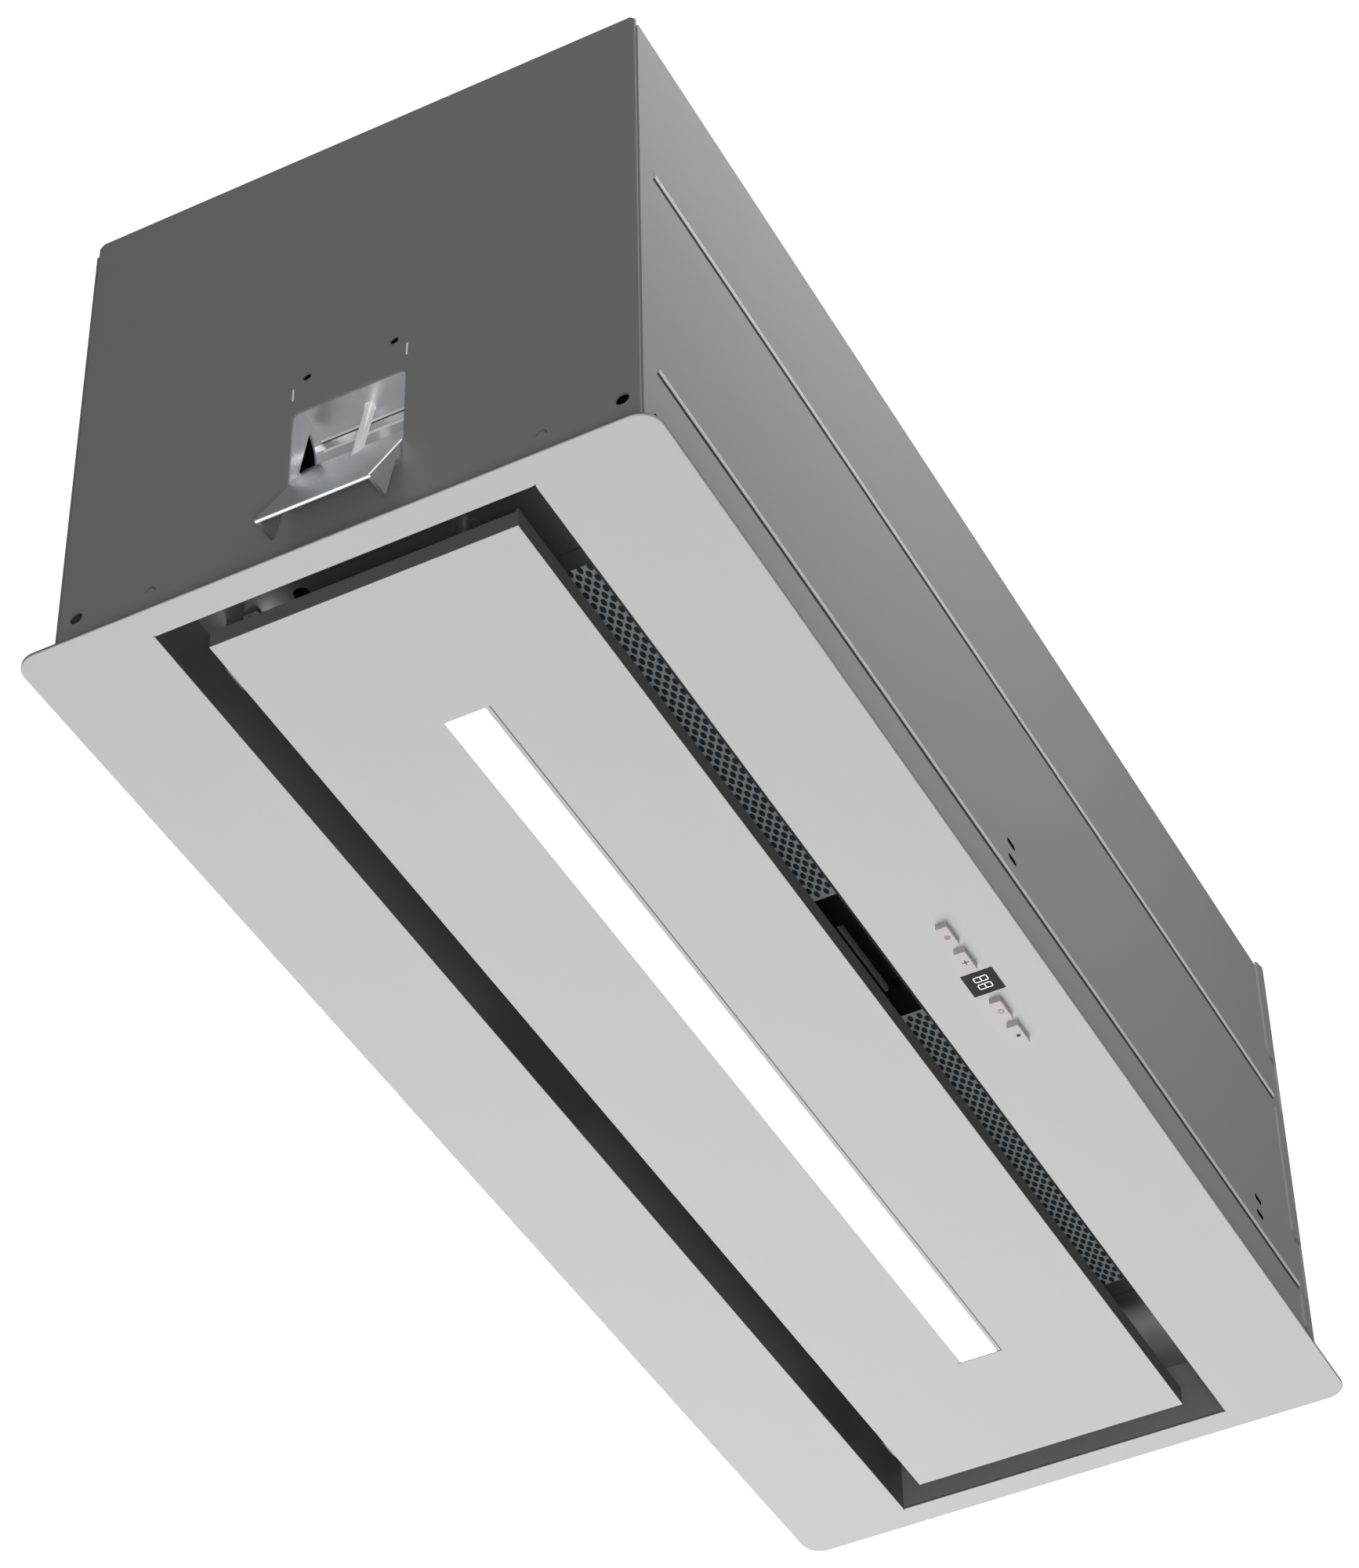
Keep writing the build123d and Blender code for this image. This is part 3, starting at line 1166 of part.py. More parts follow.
def blade_outline():
    """Curved section of a blade, drawn about the wheel's axis."""
    lean = radians(BLADE_LEAN)
    tip_radius = IMPELLER_RADIUS - BLADE_TIP_GAP
    start = (BLADE_INNER_RADIUS, 0)
    tip = (tip_radius * cos(lean), tip_radius * sin(lean))
    middle = ((start[0] + tip[0]) / 2 + BLADE_BOW * sin(lean), (start[1] + tip[1]) / 2 - BLADE_BOW)
    front = ThreePointArc(start, middle, tip)
    back = Rot(0, 0, -degrees(BLADE_SHEET / BLADE_INNER_RADIUS)) * front
    return make_face(front + back + Line(front @ 0, back @ 0) + Line(front @ 1, back @ 1))


def blade_turns():
    """Turns about the wheel's axis from the first blade to each blade."""
    return [360 * step / BLADE_COUNT for step in range(BLADE_COUNT)]


def impeller():
    """Centre disc of the wheel with its hub and a slot for each blade."""
    disc = Circle(IMPELLER_RADIUS + IMPELLER_RIM)
    slot = offset(blade_outline(), RUNNING_GAP)
    for turn in blade_turns():
        disc -= Rot(0, 0, turn) * slot
    wheel = along_x(disc, -IMPELLER_DISC / 2, IMPELLER_DISC / 2)
    wheel += rod_x(HUB_RADIUS, -HUB_HALF_LENGTH, HUB_HALF_LENGTH, 0, 0)
    wheel -= rod_x(SHAFT_RADIUS, -HUB_HALF_LENGTH, HUB_HALF_LENGTH, 0, 0)
    return Pos(0, BLOWER_Y, BLOWER_Z) * wheel


def impeller_blades():
    """Forward-curved blades through the disc's slots, from one end ring to the other."""
    blade = along_x(blade_outline(), -BLADE_HALF_LENGTH, BLADE_HALF_LENGTH)
    return group([Pos(0, BLOWER_Y, BLOWER_Z) * Rot(turn, 0, 0) * blade for turn in blade_turns()])


def impeller_rings():
    """End rings with a rolled inlet lip, flat against the blades' ends."""
    ring = turned_blower([
        (BLADE_HALF_LENGTH, BLADE_INNER_RADIUS), (IMPELLER_HALF_WIDTH, BLADE_INNER_RADIUS),
        (IMPELLER_HALF_WIDTH, BLADE_INNER_RADIUS + END_RING_LIP),
        (BLADE_HALF_LENGTH + END_RING_SHEET, BLADE_INNER_RADIUS + END_RING_LIP + END_RING_SHEET),
        (BLADE_HALF_LENGTH + END_RING_SHEET, IMPELLER_RADIUS + IMPELLER_RIM),
        (BLADE_HALF_LENGTH, IMPELLER_RADIUS + IMPELLER_RIM),
    ])
    return group([ring, mirror(ring, Plane.YZ)])


def motor_rotor():
    """Rotor core with the shaft that runs through both bearings into the hub."""
    rotor = rod_x(SHAFT_RADIUS, SHAFT_START, SHAFT_END, BLOWER_Y, BLOWER_Z)
    return rotor + rod_x(STATOR_INNER_RADIUS - ROTOR_GAP, STATOR_START, STATOR_END, BLOWER_Y, BLOWER_Z)


def motor_stator():
    """Stator ring pressed into the shell."""
    ring = rod_x(MOTOR_RADIUS - MOTOR_SHELL, STATOR_START, STATOR_END, BLOWER_Y, BLOWER_Z)
    return ring - rod_x(STATOR_INNER_RADIUS, STATOR_START, STATOR_END, BLOWER_Y, BLOWER_Z)


def motor_shell():
    """Motor shell with two bearing seats and cooling slots in its outer end."""
    inner = MOTOR_RADIUS - MOTOR_SHELL
    rim = inner - MOTOR_RIM
    seat = BEARING_RADIUS + MOTOR_SHELL
    start = MOTOR_START + BEARING_LENGTH
    finish = MOTOR_END - MOTOR_SHELL
    shell = turned_blower([
        (MOTOR_START, BEARING_RADIUS), (MOTOR_START, seat), (start, seat + MOTOR_SHELL),
        (start, rim), (start + MOTOR_RIM, MOTOR_RADIUS), (MOTOR_END - MOTOR_RIM, MOTOR_RADIUS),
        (MOTOR_END, rim), (MOTOR_END, BEARING_RADIUS), (MOTOR_END - BEARING_LENGTH, BEARING_RADIUS),
        (MOTOR_END - BEARING_LENGTH, seat), (finish, seat), (finish, rim),
        (MOTOR_END - MOTOR_RIM - MOTOR_SHELL / 2, inner), (start + MOTOR_RIM + MOTOR_SHELL / 2, inner),
        (start + MOTOR_SHELL, rim), (start + MOTOR_SHELL, BEARING_RADIUS),
    ])
    vents = Sketch()
    for spot in PolarLocations(VENT_PLACE, VENT_COUNT):
        vents += spot * SlotOverall(VENT_LENGTH, VENT_WIDTH)
    vents = Pos(BLOWER_Y, BLOWER_Z) * vents
    return shell - along_x(vents, finish - CUT_PAST, MOTOR_END + CUT_PAST)


def motor_bearings():
    """Two plain bearings."""
    rings = []
    for start in (MOTOR_START, MOTOR_END - BEARING_LENGTH):
        ring = rod_x(BEARING_RADIUS, start, start + BEARING_LENGTH, BLOWER_Y, BLOWER_Z)
        bore = rod_x(SHAFT_RADIUS + RUNNING_GAP, start, start + BEARING_LENGTH, BLOWER_Y, BLOWER_Z)
        rings.append(ring - bore)
    return group(rings)


def motor_bracket():
    """Ring round the motor with three arms over the grommets."""
    outline = Circle(MOTOR_RADIUS + MOTOR_RING_WIDTH)
    reach = GROMMET_PLACE + ARM_END_MARGIN
    for angle in arm_angles():
        outline += Rot(0, 0, angle) * Pos(reach / 2, 0) * SlotOverall(reach, ARM_WIDTH)
    outline -= Circle(MOTOR_RADIUS)
    outline = Pos(BLOWER_Y, BLOWER_Z) * outline
    for y, z in grommet_places():
        outline -= Pos(y, z) * Circle(SCREW_RADIUS)
    return along_x(outline, ARM_OUTER_X - MOTOR_RING_LENGTH, ARM_OUTER_X)


def motor_grommets():
    """Rubber sleeves between the arms and the side plate."""
    finish = ARM_OUTER_X - MOTOR_RING_LENGTH
    sleeves = []
    for y, z in grommet_places():
        sleeve = rod_x(GROMMET_RADIUS, SIDE_OUTER_X, finish, y, z)
        sleeves.append(sleeve - rod_x(SCREW_RADIUS, SIDE_OUTER_X, finish, y, z))
    return group(sleeves)


# Electrics


def power_box():
    """Open-bottomed box for the electronics under the top plate."""
    half_x = POWER_BOX_LENGTH / 2
    half_y = POWER_BOX_DEPTH / 2
    wall = POWER_BOX_WALL
    outer = RectangleRounded(POWER_BOX_LENGTH, POWER_BOX_DEPTH, POWER_BOX_CORNER)
    box = along_z(outer, POWER_BOX_BOTTOM, SHEET_TOP)
    box -= block(
        wall - half_x, half_x - wall, wall - half_y, half_y - wall,
        POWER_BOX_BOTTOM, SHEET_TOP - wall,
    )
    return Pos(POWER_BOX_X, POWER_BOX_Y, 0) * box


def power_box_lid():
    """Lid under the power box with cooling slots."""
    lid = RectangleRounded(POWER_BOX_LENGTH, POWER_BOX_DEPTH, POWER_BOX_CORNER)
    for spot in GridLocations(LID_SLOT_PITCH, 0, LID_SLOT_COUNT, 1):
        lid -= spot * SlotOverall(LID_SLOT_LENGTH, LID_SLOT_WIDTH, rotation=90)
    lid = along_z(lid, POWER_BOX_BOTTOM - POWER_LID_SHEET, POWER_BOX_BOTTOM)
    return Pos(POWER_BOX_X, POWER_BOX_Y, 0) * lid


def hung_block(place, size, top):
    """Straight-sided piece with its upper face centred on a place."""
    x, y = place
    length, depth, height = size
    return block(x - length / 2, x + length / 2, y - depth / 2, y + depth / 2, top - height, top)


def power_board():
    """Power board on standoffs with a transformer, two relays and a terminal block."""
    margin = POWER_BOX_WALL + POWER_BOARD_MARGIN
    length = POWER_BOX_LENGTH - 2 * margin
    depth = POWER_BOX_DEPTH - 2 * margin
    roof = SHEET_TOP - POWER_BOX_WALL
    top = roof - STANDOFF_HEIGHT
    low = top - BOARD_THICKNESS
    pieces = [hung_block((0, 0), (length, depth, BOARD_THICKNESS), top)]
    pieces.append(hung_block(TRANSFORMER_PLACE, TRANSFORMER_SIZE, low))
    for place in RELAY_PLACES:
        pieces.append(hung_block(place, RELAY_SIZE, low))
    pieces.append(hung_block(TERMINAL_PLACE, TERMINAL_SIZE, low))
    for spot in GridLocations(length - 2 * STANDOFF_INSET, depth - 2 * STANDOFF_INSET, 2, 2):
        pieces.append(rod_z(STANDOFF_RADIUS, top, roof, spot.position.X, spot.position.Y))
    return Pos(POWER_BOX_X, POWER_BOX_Y, 0) * group(pieces)


def run_capacitor():
    """Round run capacitor with its terminal stub."""
    start = POWER_BOX_X - CAPACITOR_LENGTH / 2
    can = rod_x(CAPACITOR_RADIUS, start, start + CAPACITOR_LENGTH, CAPACITOR_Y, CAPACITOR_Z)
    can = chamfer(can.edges(), CAPACITOR_EDGE)
    return can + rod_x(CAPACITOR_STUB_RADIUS, start - CAPACITOR_STUB_LENGTH, start, CAPACITOR_Y, CAPACITOR_Z)


def capacitor_strap():
    """Strap that holds the capacitor under the top plate."""
    side = CAPACITOR_RADIUS + STRAP_SHEET
    rise = SHEET_TOP - CAPACITOR_Z
    strap = Circle(side)
    strap += Pos(0, rise / 2) * Rectangle(2 * side, rise)
    strap += Pos(0, rise - STRAP_SHEET / 2) * Rectangle(2 * (side + STRAP_FOOT), STRAP_SHEET)
    strap -= Circle(CAPACITOR_RADIUS)
    strap -= Pos(0, rise / 2) * Rectangle(2 * CAPACITOR_RADIUS, rise)
    strap = Pos(CAPACITOR_Y, CAPACITOR_Z) * strap
    return along_x(strap, POWER_BOX_X - STRAP_WIDTH / 2, POWER_BOX_X + STRAP_WIDTH / 2)


def mains_gland():
    """Cable gland through the top plate with its hexagon nut, open for a lead."""
    top = HOUSING_TOP + GLAND_FLANGE_HEIGHT
    gland = rod_z(GLAND_RADIUS, SHEET_TOP - GLAND_TAIL, HOUSING_TOP, 0, 0)
    gland += rod_z(GLAND_FLANGE_RADIUS, HOUSING_TOP, top, 0, 0)
    gland += along_z(RegularPolygon(GLAND_FLANGE_RADIUS, 6), SHEET_TOP - GLAND_NUT_HEIGHT, SHEET_TOP)
    gland -= rod_z(GLAND_BORE_RADIUS, SHEET_TOP - GLAND_TAIL - CUT_PAST, top + CUT_PAST, 0, 0)
    return Pos(GLAND_X, GLAND_Y, 0) * gland


# Screws


def pan_screws():
    """Pan-head screws of the top plate, the outlet collar and the motor bracket."""
    screws = []
    for x in top_screw_places():
        for y in (TOP_SCREW_Y, -TOP_SCREW_Y):
            screws.append(Pos(x, y, HOUSING_TOP) * pan_screw())
    seat = HOUSING_TOP + COLLAR_FLANGE_HEIGHT
    for spot in collar_screw_places():
        screws.append(Pos(spot.X, spot.Y, seat) * pan_screw())
    for y, z in grommet_places():
        screws.append(Pos(ARM_OUTER_X, y, z) * Rot(0, 90, 0) * pan_screw())
    return group(screws)


def named_parts():
    """All named parts of the hood."""
    parts = {
        "frame_panel": frame_panel(),
        "recess_channel": recess_channel(),
        "seal_strips": seal_strips(),
        "end_plate_near": end_plate(INSIDE_Y, INSIDE_SPANS),
        "end_plate_far": mirror(end_plate(SIDE_Y, OUTSIDE_SPANS), Plane.YZ),
        "front_sheet": long_sheet(True),
        "rear_sheet": mirror(long_sheet(False), Plane.XZ),
        "top_plate": top_plate(),
        "outlet_collar": outlet_collar(),
        "flap_pin": flap_pin(),
        "flap_near": flap(-1, 0),
        "flap_far": flap(1, 1),
        "centre_panel": centre_panel(),
        "light_lens": light_lens(),
        "light_channel": light_channel(),
        "light_board": light_board(),
        "hinge_leaves": hinge_leaves(),
        "hinge_brackets": hinge_brackets(),
        "hinge_pins": hinge_pins(),
        "catch_magnets": catch_magnets(),
        "catch_strikes": catch_strikes(),
        "filter_frame": filter_frame(),
        "filter_mesh": filter_mesh(),
        "filter_grip": filter_grip(),
        "grip_bar": grip_bar(),
        "filter_clips": filter_clips(),
        "key_housing": key_housing(),
        "control_board": control_board(),
        "display_window": display_window(),
        "scroll_wrap": scroll_wrap(),
        "scroll_sides": scroll_sides(),
        "inlet_rings": inlet_rings(),
        "impeller": impeller(),
        "impeller_blades": impeller_blades(),
        "impeller_rings": impeller_rings(),
        "motor_rotor": motor_rotor(),
        "motor_stator": motor_stator(),
        "motor_shell": motor_shell(),
        "motor_bearings": motor_bearings(),
        "motor_bracket": motor_bracket(),
        "motor_grommets": motor_grommets(),
        "power_box": power_box(),
        "power_box_lid": power_box_lid(),
        "power_board": power_board(),
        "run_capacitor": run_capacitor(),
        "capacitor_strap": capacitor_strap(),
        "mains_gland": mains_gland(),
        "pan_screws": pan_screws(),
    }
    makers = {
        "clamp_pocket": clamp_pocket,
        "clamp_hook": clamp_hook,
        "clamp_nut": clamp_nut,
        "clamp_screw": clamp_screw,
    }
    for name, maker in makers.items():
        near, far = both_ends(maker())
        parts[name + "_near"] = near
        parts[name + "_far"] = far
    for name, x in zip(KEY_NAMES, KEY_PLACES):
        parts[name] = key_cap(x)
    return parts


if __name__ == "__main__":
    os.makedirs("parts", exist_ok=True)
    for node, shape in named_parts().items():
        export_step(shape, f"parts/{node}.step")
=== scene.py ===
"""Looks of the built-in range hood: materials, fine pieces, studio and camera."""

import logging
from dataclasses import dataclass
from enum import Enum
from typing import Iterable, Sequence

import bpy
from mathutils import Matrix, Vector


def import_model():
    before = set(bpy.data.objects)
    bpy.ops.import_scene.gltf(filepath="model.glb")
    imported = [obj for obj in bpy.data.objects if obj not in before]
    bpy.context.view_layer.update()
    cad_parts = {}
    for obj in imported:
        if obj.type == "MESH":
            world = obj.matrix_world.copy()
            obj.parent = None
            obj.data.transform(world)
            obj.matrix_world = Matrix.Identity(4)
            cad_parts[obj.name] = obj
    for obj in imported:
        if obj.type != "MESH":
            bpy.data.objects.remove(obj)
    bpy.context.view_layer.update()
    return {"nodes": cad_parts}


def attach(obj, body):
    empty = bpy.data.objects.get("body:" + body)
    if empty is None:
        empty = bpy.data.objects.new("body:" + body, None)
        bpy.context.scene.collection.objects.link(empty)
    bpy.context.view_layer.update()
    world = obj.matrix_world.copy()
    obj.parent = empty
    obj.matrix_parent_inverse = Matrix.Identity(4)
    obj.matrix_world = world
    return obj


logging.basicConfig(level=logging.INFO, format="%(name)s: %(message)s")
LOG = logging.getLogger("hood")

MM = 0.001
DISPLAY_WHITE = 255
SRGB_TOE = 0.04045
SRGB_TOE_SLOPE = 12.92
SRGB_OFFSET = 0.055
SRGB_POWER = 2.4

Colour = tuple[float, float, float]
Triple = Sequence[float]


class Body(Enum):
    """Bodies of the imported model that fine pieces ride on, besides those of the keys."""

    HOOD = "hood"
    PANEL = "panel_body"
    FILTER = "filter_body"
    HOOK_NEAR = "hook_near_body"
    HOOK_FAR = "hook_far_body"


class Key(Enum):
    """The four keys with their places in the row. The display takes place 2."""

    LIGHT = 0
    PLUS = 1
    TIMER = 3
    POWER = 4

    @property
    def label(self) -> str:
        """Give the word that the names of the key's pieces share."""
        return self.name.lower()

    @property
    def body(self) -> str:
        """Give the name of the body that the key's pieces ride on."""
        return f"key_{self.label}_body"


class Slot(Enum):
    """Material slots of the record that fine pieces are handed over with."""

    HOUSING = "housing_steel"
    FRAME = "frame_steel"
    DARK = "black_plastic"
    GLOSS = "black_gloss"
    OPAL = "opal"
    KEY = "key_plastic"
    MESH = "aluminium_mesh"
    CLAMP = "galvanised"


class Texture(Enum):
    """Surface structures that a finish can ask for."""

    SATIN = "satin"
    BRUSHED = "brushed"
    SPANGLE = "spangle"
    MOULDED = "moulded"


def linear_light(value: int) -> float:
    """Turn one channel of a display colour into linear light.

    Args:
        value: The channel, 0 to 255.

    Returns:
        Its linear light, 0 to 1.
    """
    share = value / DISPLAY_WHITE
    if share <= SRGB_TOE:
        return share / SRGB_TOE_SLOPE
    return ((share + SRGB_OFFSET) / (1 + SRGB_OFFSET)) ** SRGB_POWER


def srgb(red: int, green: int, blue: int) -> Colour:
    """Turn an 8-bit display colour into linear light.

    Args:
        red: Red, 0 to 255.
        green: Green, 0 to 255.
        blue: Blue, 0 to 255.

    Returns:
        The colour in linear light.
    """
    return linear_light(red), linear_light(green), linear_light(blue)


def in_metres(lengths: Triple) -> tuple[float, ...]:
    """Turn millimetres into metres.

    Args:
        lengths: Lengths in millimetres.

    Returns:
        The same lengths in metres.
    """
    return tuple(length * MM for length in lengths)


@dataclass(frozen=True)
class Finish:
    """A surface finish in numbers.

    Attributes:
        name: Name of the material.
        colour: Main colour in linear light.
        metallic: How metallic the surface is, 0 to 1.
        roughness: Mean roughness.
        texture: Structure of the surface.
        scale: Features per metre.
        depth: Height of the structure in metres.
        mottle: Share by which the colour wanders.
        shine: Level of the mirror reflection on plain surfaces.
        glow: Strength of its own light.
        seen_only: Whether its own light reaches the camera alone.
        painted_shade: Share of the colour that is left on the walls above painted_shade_z, as
            painted shade.
        painted_shade_z: Height in metres above which the walls are in the shade.
    """

    name: str
    colour: Colour
    metallic: float = 0.0
    roughness: float = 0.5
    texture: Texture = Texture.SATIN
    scale: float = 900.0
    depth: float = 0.00002
    mottle: float = 0.04
    shine: float = 0.5
    glow: float = 0.0
    seen_only: bool = False
    painted_shade: float = 1.0
    painted_shade_z: float = 0.0003


class Wiring:
    """A shader node tree with short ways to add and link its nodes."""

    def __init__(self, tree: bpy.types.NodeTree) -> None:
        """Keep the tree.

        Args:
            tree: The node tree.
        """
        self.tree = tree

    def add(self, kind: str, defaults: dict[str | int, object] | None = None,
            **values: object) -> bpy.types.Node:
        """Add a node.

        Args:
            kind: Blender's node type.
            defaults: Values for unlinked inputs, by name or number.
            values: Attributes to set on the node.

        Returns:
            The node.
        """
        node = self.tree.nodes.new(kind)
        for key, value in values.items():
            setattr(node, key, value)
        for key, value in (defaults or {}).items():
            node.inputs[key].default_value = value
        return node

    def join(self, source: bpy.types.NodeSocket, target: bpy.types.NodeSocket) -> None:
        """Link two sockets.

        Args:
            source: Output socket.
            target: Input socket.
        """
        self.tree.links.new(source, target)


class EffectGroup(Wiring):
    """A shared shader node group that gives Value, Height and Slow from a position."""

    slow_scale = 7.0
    slow_detail = 3.0

    def __init__(self, name: str) -> None:
        """Open a new group.

        Args:
            name: Name of the group.
        """
        super().__init__(bpy.data.node_groups.new(name, "ShaderNodeTree"))
        for label, kind, default in (
            ("Vector", "NodeSocketVector", (0.0, 0.0, 0.0)),
            ("Scale", "NodeSocketFloat", Finish.scale),
        ):
            socket = self.tree.interface.new_socket(label, in_out="INPUT", socket_type=kind)
            socket.default_value = default
        for label in ("Value", "Height", "Slow"):
            self.tree.interface.new_socket(label, in_out="OUTPUT", socket_type="NodeSocketFloat")
        self.start = self.add("NodeGroupInput")
        self.end = self.add("NodeGroupOutput")
        self._slow()

    def _slow(self) -> None:
        """Add the slow wander that every group gives."""
        noise = self.add("ShaderNodeTexNoise",
                         {"Scale": self.slow_scale, "Detail": self.slow_detail})
        self.join(self.start.outputs["Vector"], noise.inputs["Vector"])
        self.join(noise.outputs["Fac"], self.end.inputs["Slow"])

    def stretched(self, factors: Triple) -> bpy.types.NodeSocket:
        """Give the position multiplied by one factor an axis.

        Args:
            factors: Factor along X, Y and Z.

        Returns:
            The output socket.
        """
        node = self.add("ShaderNodeVectorMath", {1: tuple(factors)}, operation="MULTIPLY")
        self.join(self.start.outputs["Vector"], node.inputs[0])
        return node.outputs["Vector"]

    def give(self, socket: bpy.types.NodeSocket) -> bpy.types.NodeTree:
        """Use one value for Value and Height and close the group.

        Args:
            socket: The value.

        Returns:
            The finished tree.
        """
        self.join(socket, self.end.inputs["Value"])
        self.join(socket, self.end.inputs["Height"])
        return self.tree


class EffectLibrary:
    """The shared groups, each built once."""

    def __init__(self) -> None:
        """Build all groups."""
        self.groups = {
            Texture.SATIN: self._noise("SatinGrain", stretch=(1, 1, 1), detail=2.0),
            Texture.BRUSHED: self._noise("BrushedLines", stretch=(0.03, 1, 1), detail=4.0),
            Texture.MOULDED: self._noise("MouldedGrain", stretch=(1, 1, 1), detail=5.0),
            Texture.SPANGLE: self._spangle(),
        }
        LOG.info("effect groups: %d", len(self.groups))

    @staticmethod
    def _noise(name: str, stretch: Triple, detail: float) -> bpy.types.NodeTree:
        """Build a group whose value is noise.

        Args:
            name: Name of the group.
            stretch: Factor along each axis.
            detail: Octaves of the noise.

        Returns:
            The finished tree.
        """
        group = EffectGroup(name)
        noise = group.add("ShaderNodeTexNoise", {"Detail": detail})
        group.join(group.stretched(stretch), noise.inputs["Vector"])
        group.join(group.start.outputs["Scale"], noise.inputs["Scale"])
        return group.give(noise.outputs["Fac"])

    @staticmethod
    def _spangle() -> bpy.types.NodeTree:
        """Build the crystal pattern of zinc.

        Returns:
            The finished tree.
        """
        group = EffectGroup("ZincSpangle")
        cells = group.add("ShaderNodeTexVoronoi", feature="F1")
        group.join(group.start.outputs["Vector"], cells.inputs["Vector"])
        group.join(group.start.outputs["Scale"], cells.inputs["Scale"])
        split = group.add("ShaderNodeSeparateColor")
        group.join(cells.outputs["Color"], split.inputs["Color"])
        return group.give(split.outputs["Red"])


class Paintbox:
    """Makes each material once, out of a finish, and gives it to CAD nodes."""

    fast_share = 0.4
    slow_share = 0.6
    roughness_spread = 0.12
    least_roughness = 0.02
    bump_strength = 0.5

    def __init__(self, library: EffectLibrary, nodes: dict[str, bpy.types.Object]) -> None:
        """Keep the effect groups and the CAD nodes.

        Args:
            library: The shared groups.
            nodes: The CAD nodes by name.
        """
        self.library = library
        self.nodes = nodes
        self.made: dict[str, bpy.types.Material] = {}

    def dress(self, names: Iterable[str], finish: Finish) -> None:
        """Give CAD nodes a finish.

        Args:
            names: Names of the nodes.
            finish: The finish.
        """
        material = self.get(finish)
        for name in names:
            mesh = self.nodes[name].data
            mesh.materials.clear()
            mesh.materials.append(material)
            LOG.info("node %s in %s", name, finish.name)

    def get(self, finish: Finish) -> bpy.types.Material:
        """Give the material of a finish.

        Args:
            finish: The finish.

        Returns:
            The material.
        """
        if finish.name not in self.made:
            self.made[finish.name] = self._make(finish)
        return self.made[finish.name]

    def _make(self, finish: Finish) -> bpy.types.Material:
        """Build a material.

        Args:
            finish: The finish.

        Returns:
            The material.
        """
        material = bpy.data.materials.new(finish.name)
        material.use_nodes = True
        wiring = Wiring(material.node_tree)
        shader = wiring.tree.nodes["Principled BSDF"]
        place = wiring.add("ShaderNodeTexCoord").outputs["Object"]
        effect = wiring.add("ShaderNodeGroup", node_tree=self.library.groups[finish.texture])
        effect.inputs["Scale"].default_value = finish.scale
        wiring.join(place, effect.inputs["Vector"])
        colour = self._mottled(wiring, finish, effect)
        # Walls above the sheet's face get painted shade.
        if finish.painted_shade < 1:
            colour = self._painted_wall_shade(wiring, finish, place, colour)
        wiring.join(colour, shader.inputs["Base Color"])
        self._roughened(wiring, finish, effect, shader)
        shader.inputs["Metallic"].default_value = finish.metallic
        shader.inputs["Specular IOR Level"].default_value = finish.shine
        if finish.glow > 0:
            shader.inputs["Emission Color"].default_value = (*finish.colour, 1)
            shader.inputs["Emission Strength"].default_value = finish.glow
        if finish.seen_only:
            self._seen_only(wiring, finish, shader)
        LOG.info("material %s", finish.name)
        return material

    def _mottled(self, wiring: Wiring, finish: Finish,
                 effect: bpy.types.Node) -> bpy.types.NodeSocket:
        """Let the colour wander with the effect, partly fast and partly slowly.

        Args:
            wiring: The material's node tree.
            finish: The finish.
            effect: The effect group's node.

        Returns:
            The colour.
        """
        low = tuple(part * (1 - finish.mottle) for part in finish.colour)
        high = tuple(min(1.0, part * (1 + finish.mottle)) for part in finish.colour)
        tint = wiring.add("ShaderNodeMix", data_type="RGBA")
        tint.inputs["A"].default_value = (*low, 1)
        tint.inputs["B"].default_value = (*high, 1)
        slow = wiring.add("ShaderNodeMath", {1: self.slow_share}, operation="MULTIPLY")
        blend = wiring.add("ShaderNodeMath", {1: self.fast_share}, operation="MULTIPLY_ADD")
        wiring.join(effect.outputs["Slow"], slow.inputs[0])
        wiring.join(effect.outputs["Value"], blend.inputs[0])
        wiring.join(slow.outputs[0], blend.inputs[2])
        wiring.join(blend.outputs[0], tint.inputs["Factor"])
        return tint.outputs["Result"]

    @staticmethod
    def _painted_wall_shade(wiring: Wiring, finish: Finish, place: bpy.types.NodeSocket,
                colour: bpy.types.NodeSocket) -> bpy.types.NodeSocket:
        """Paint shade on the walls: darken the colour above the face of a sheet.

        Args:
            wiring: The material's node tree.
            finish: The finish.
            place: The position on the object.
            colour: The colour of the face.

        Returns:
            The colour with its darker walls.
        """
        split = wiring.add("ShaderNodeSeparateXYZ")
        wiring.join(place, split.inputs[0])
        above = wiring.add("ShaderNodeMath", {1: finish.painted_shade_z}, operation="GREATER_THAN")
        wiring.join(split.outputs["Z"], above.inputs[0])
        shade = wiring.add("ShaderNodeMix", data_type="RGBA")
        shade.inputs["B"].default_value = (*(part * finish.painted_shade for part in finish.colour), 1)
        wiring.join(above.outputs[0], shade.inputs["Factor"])
        wiring.join(colour, shade.inputs["A"])
        return shade.outputs["Result"]

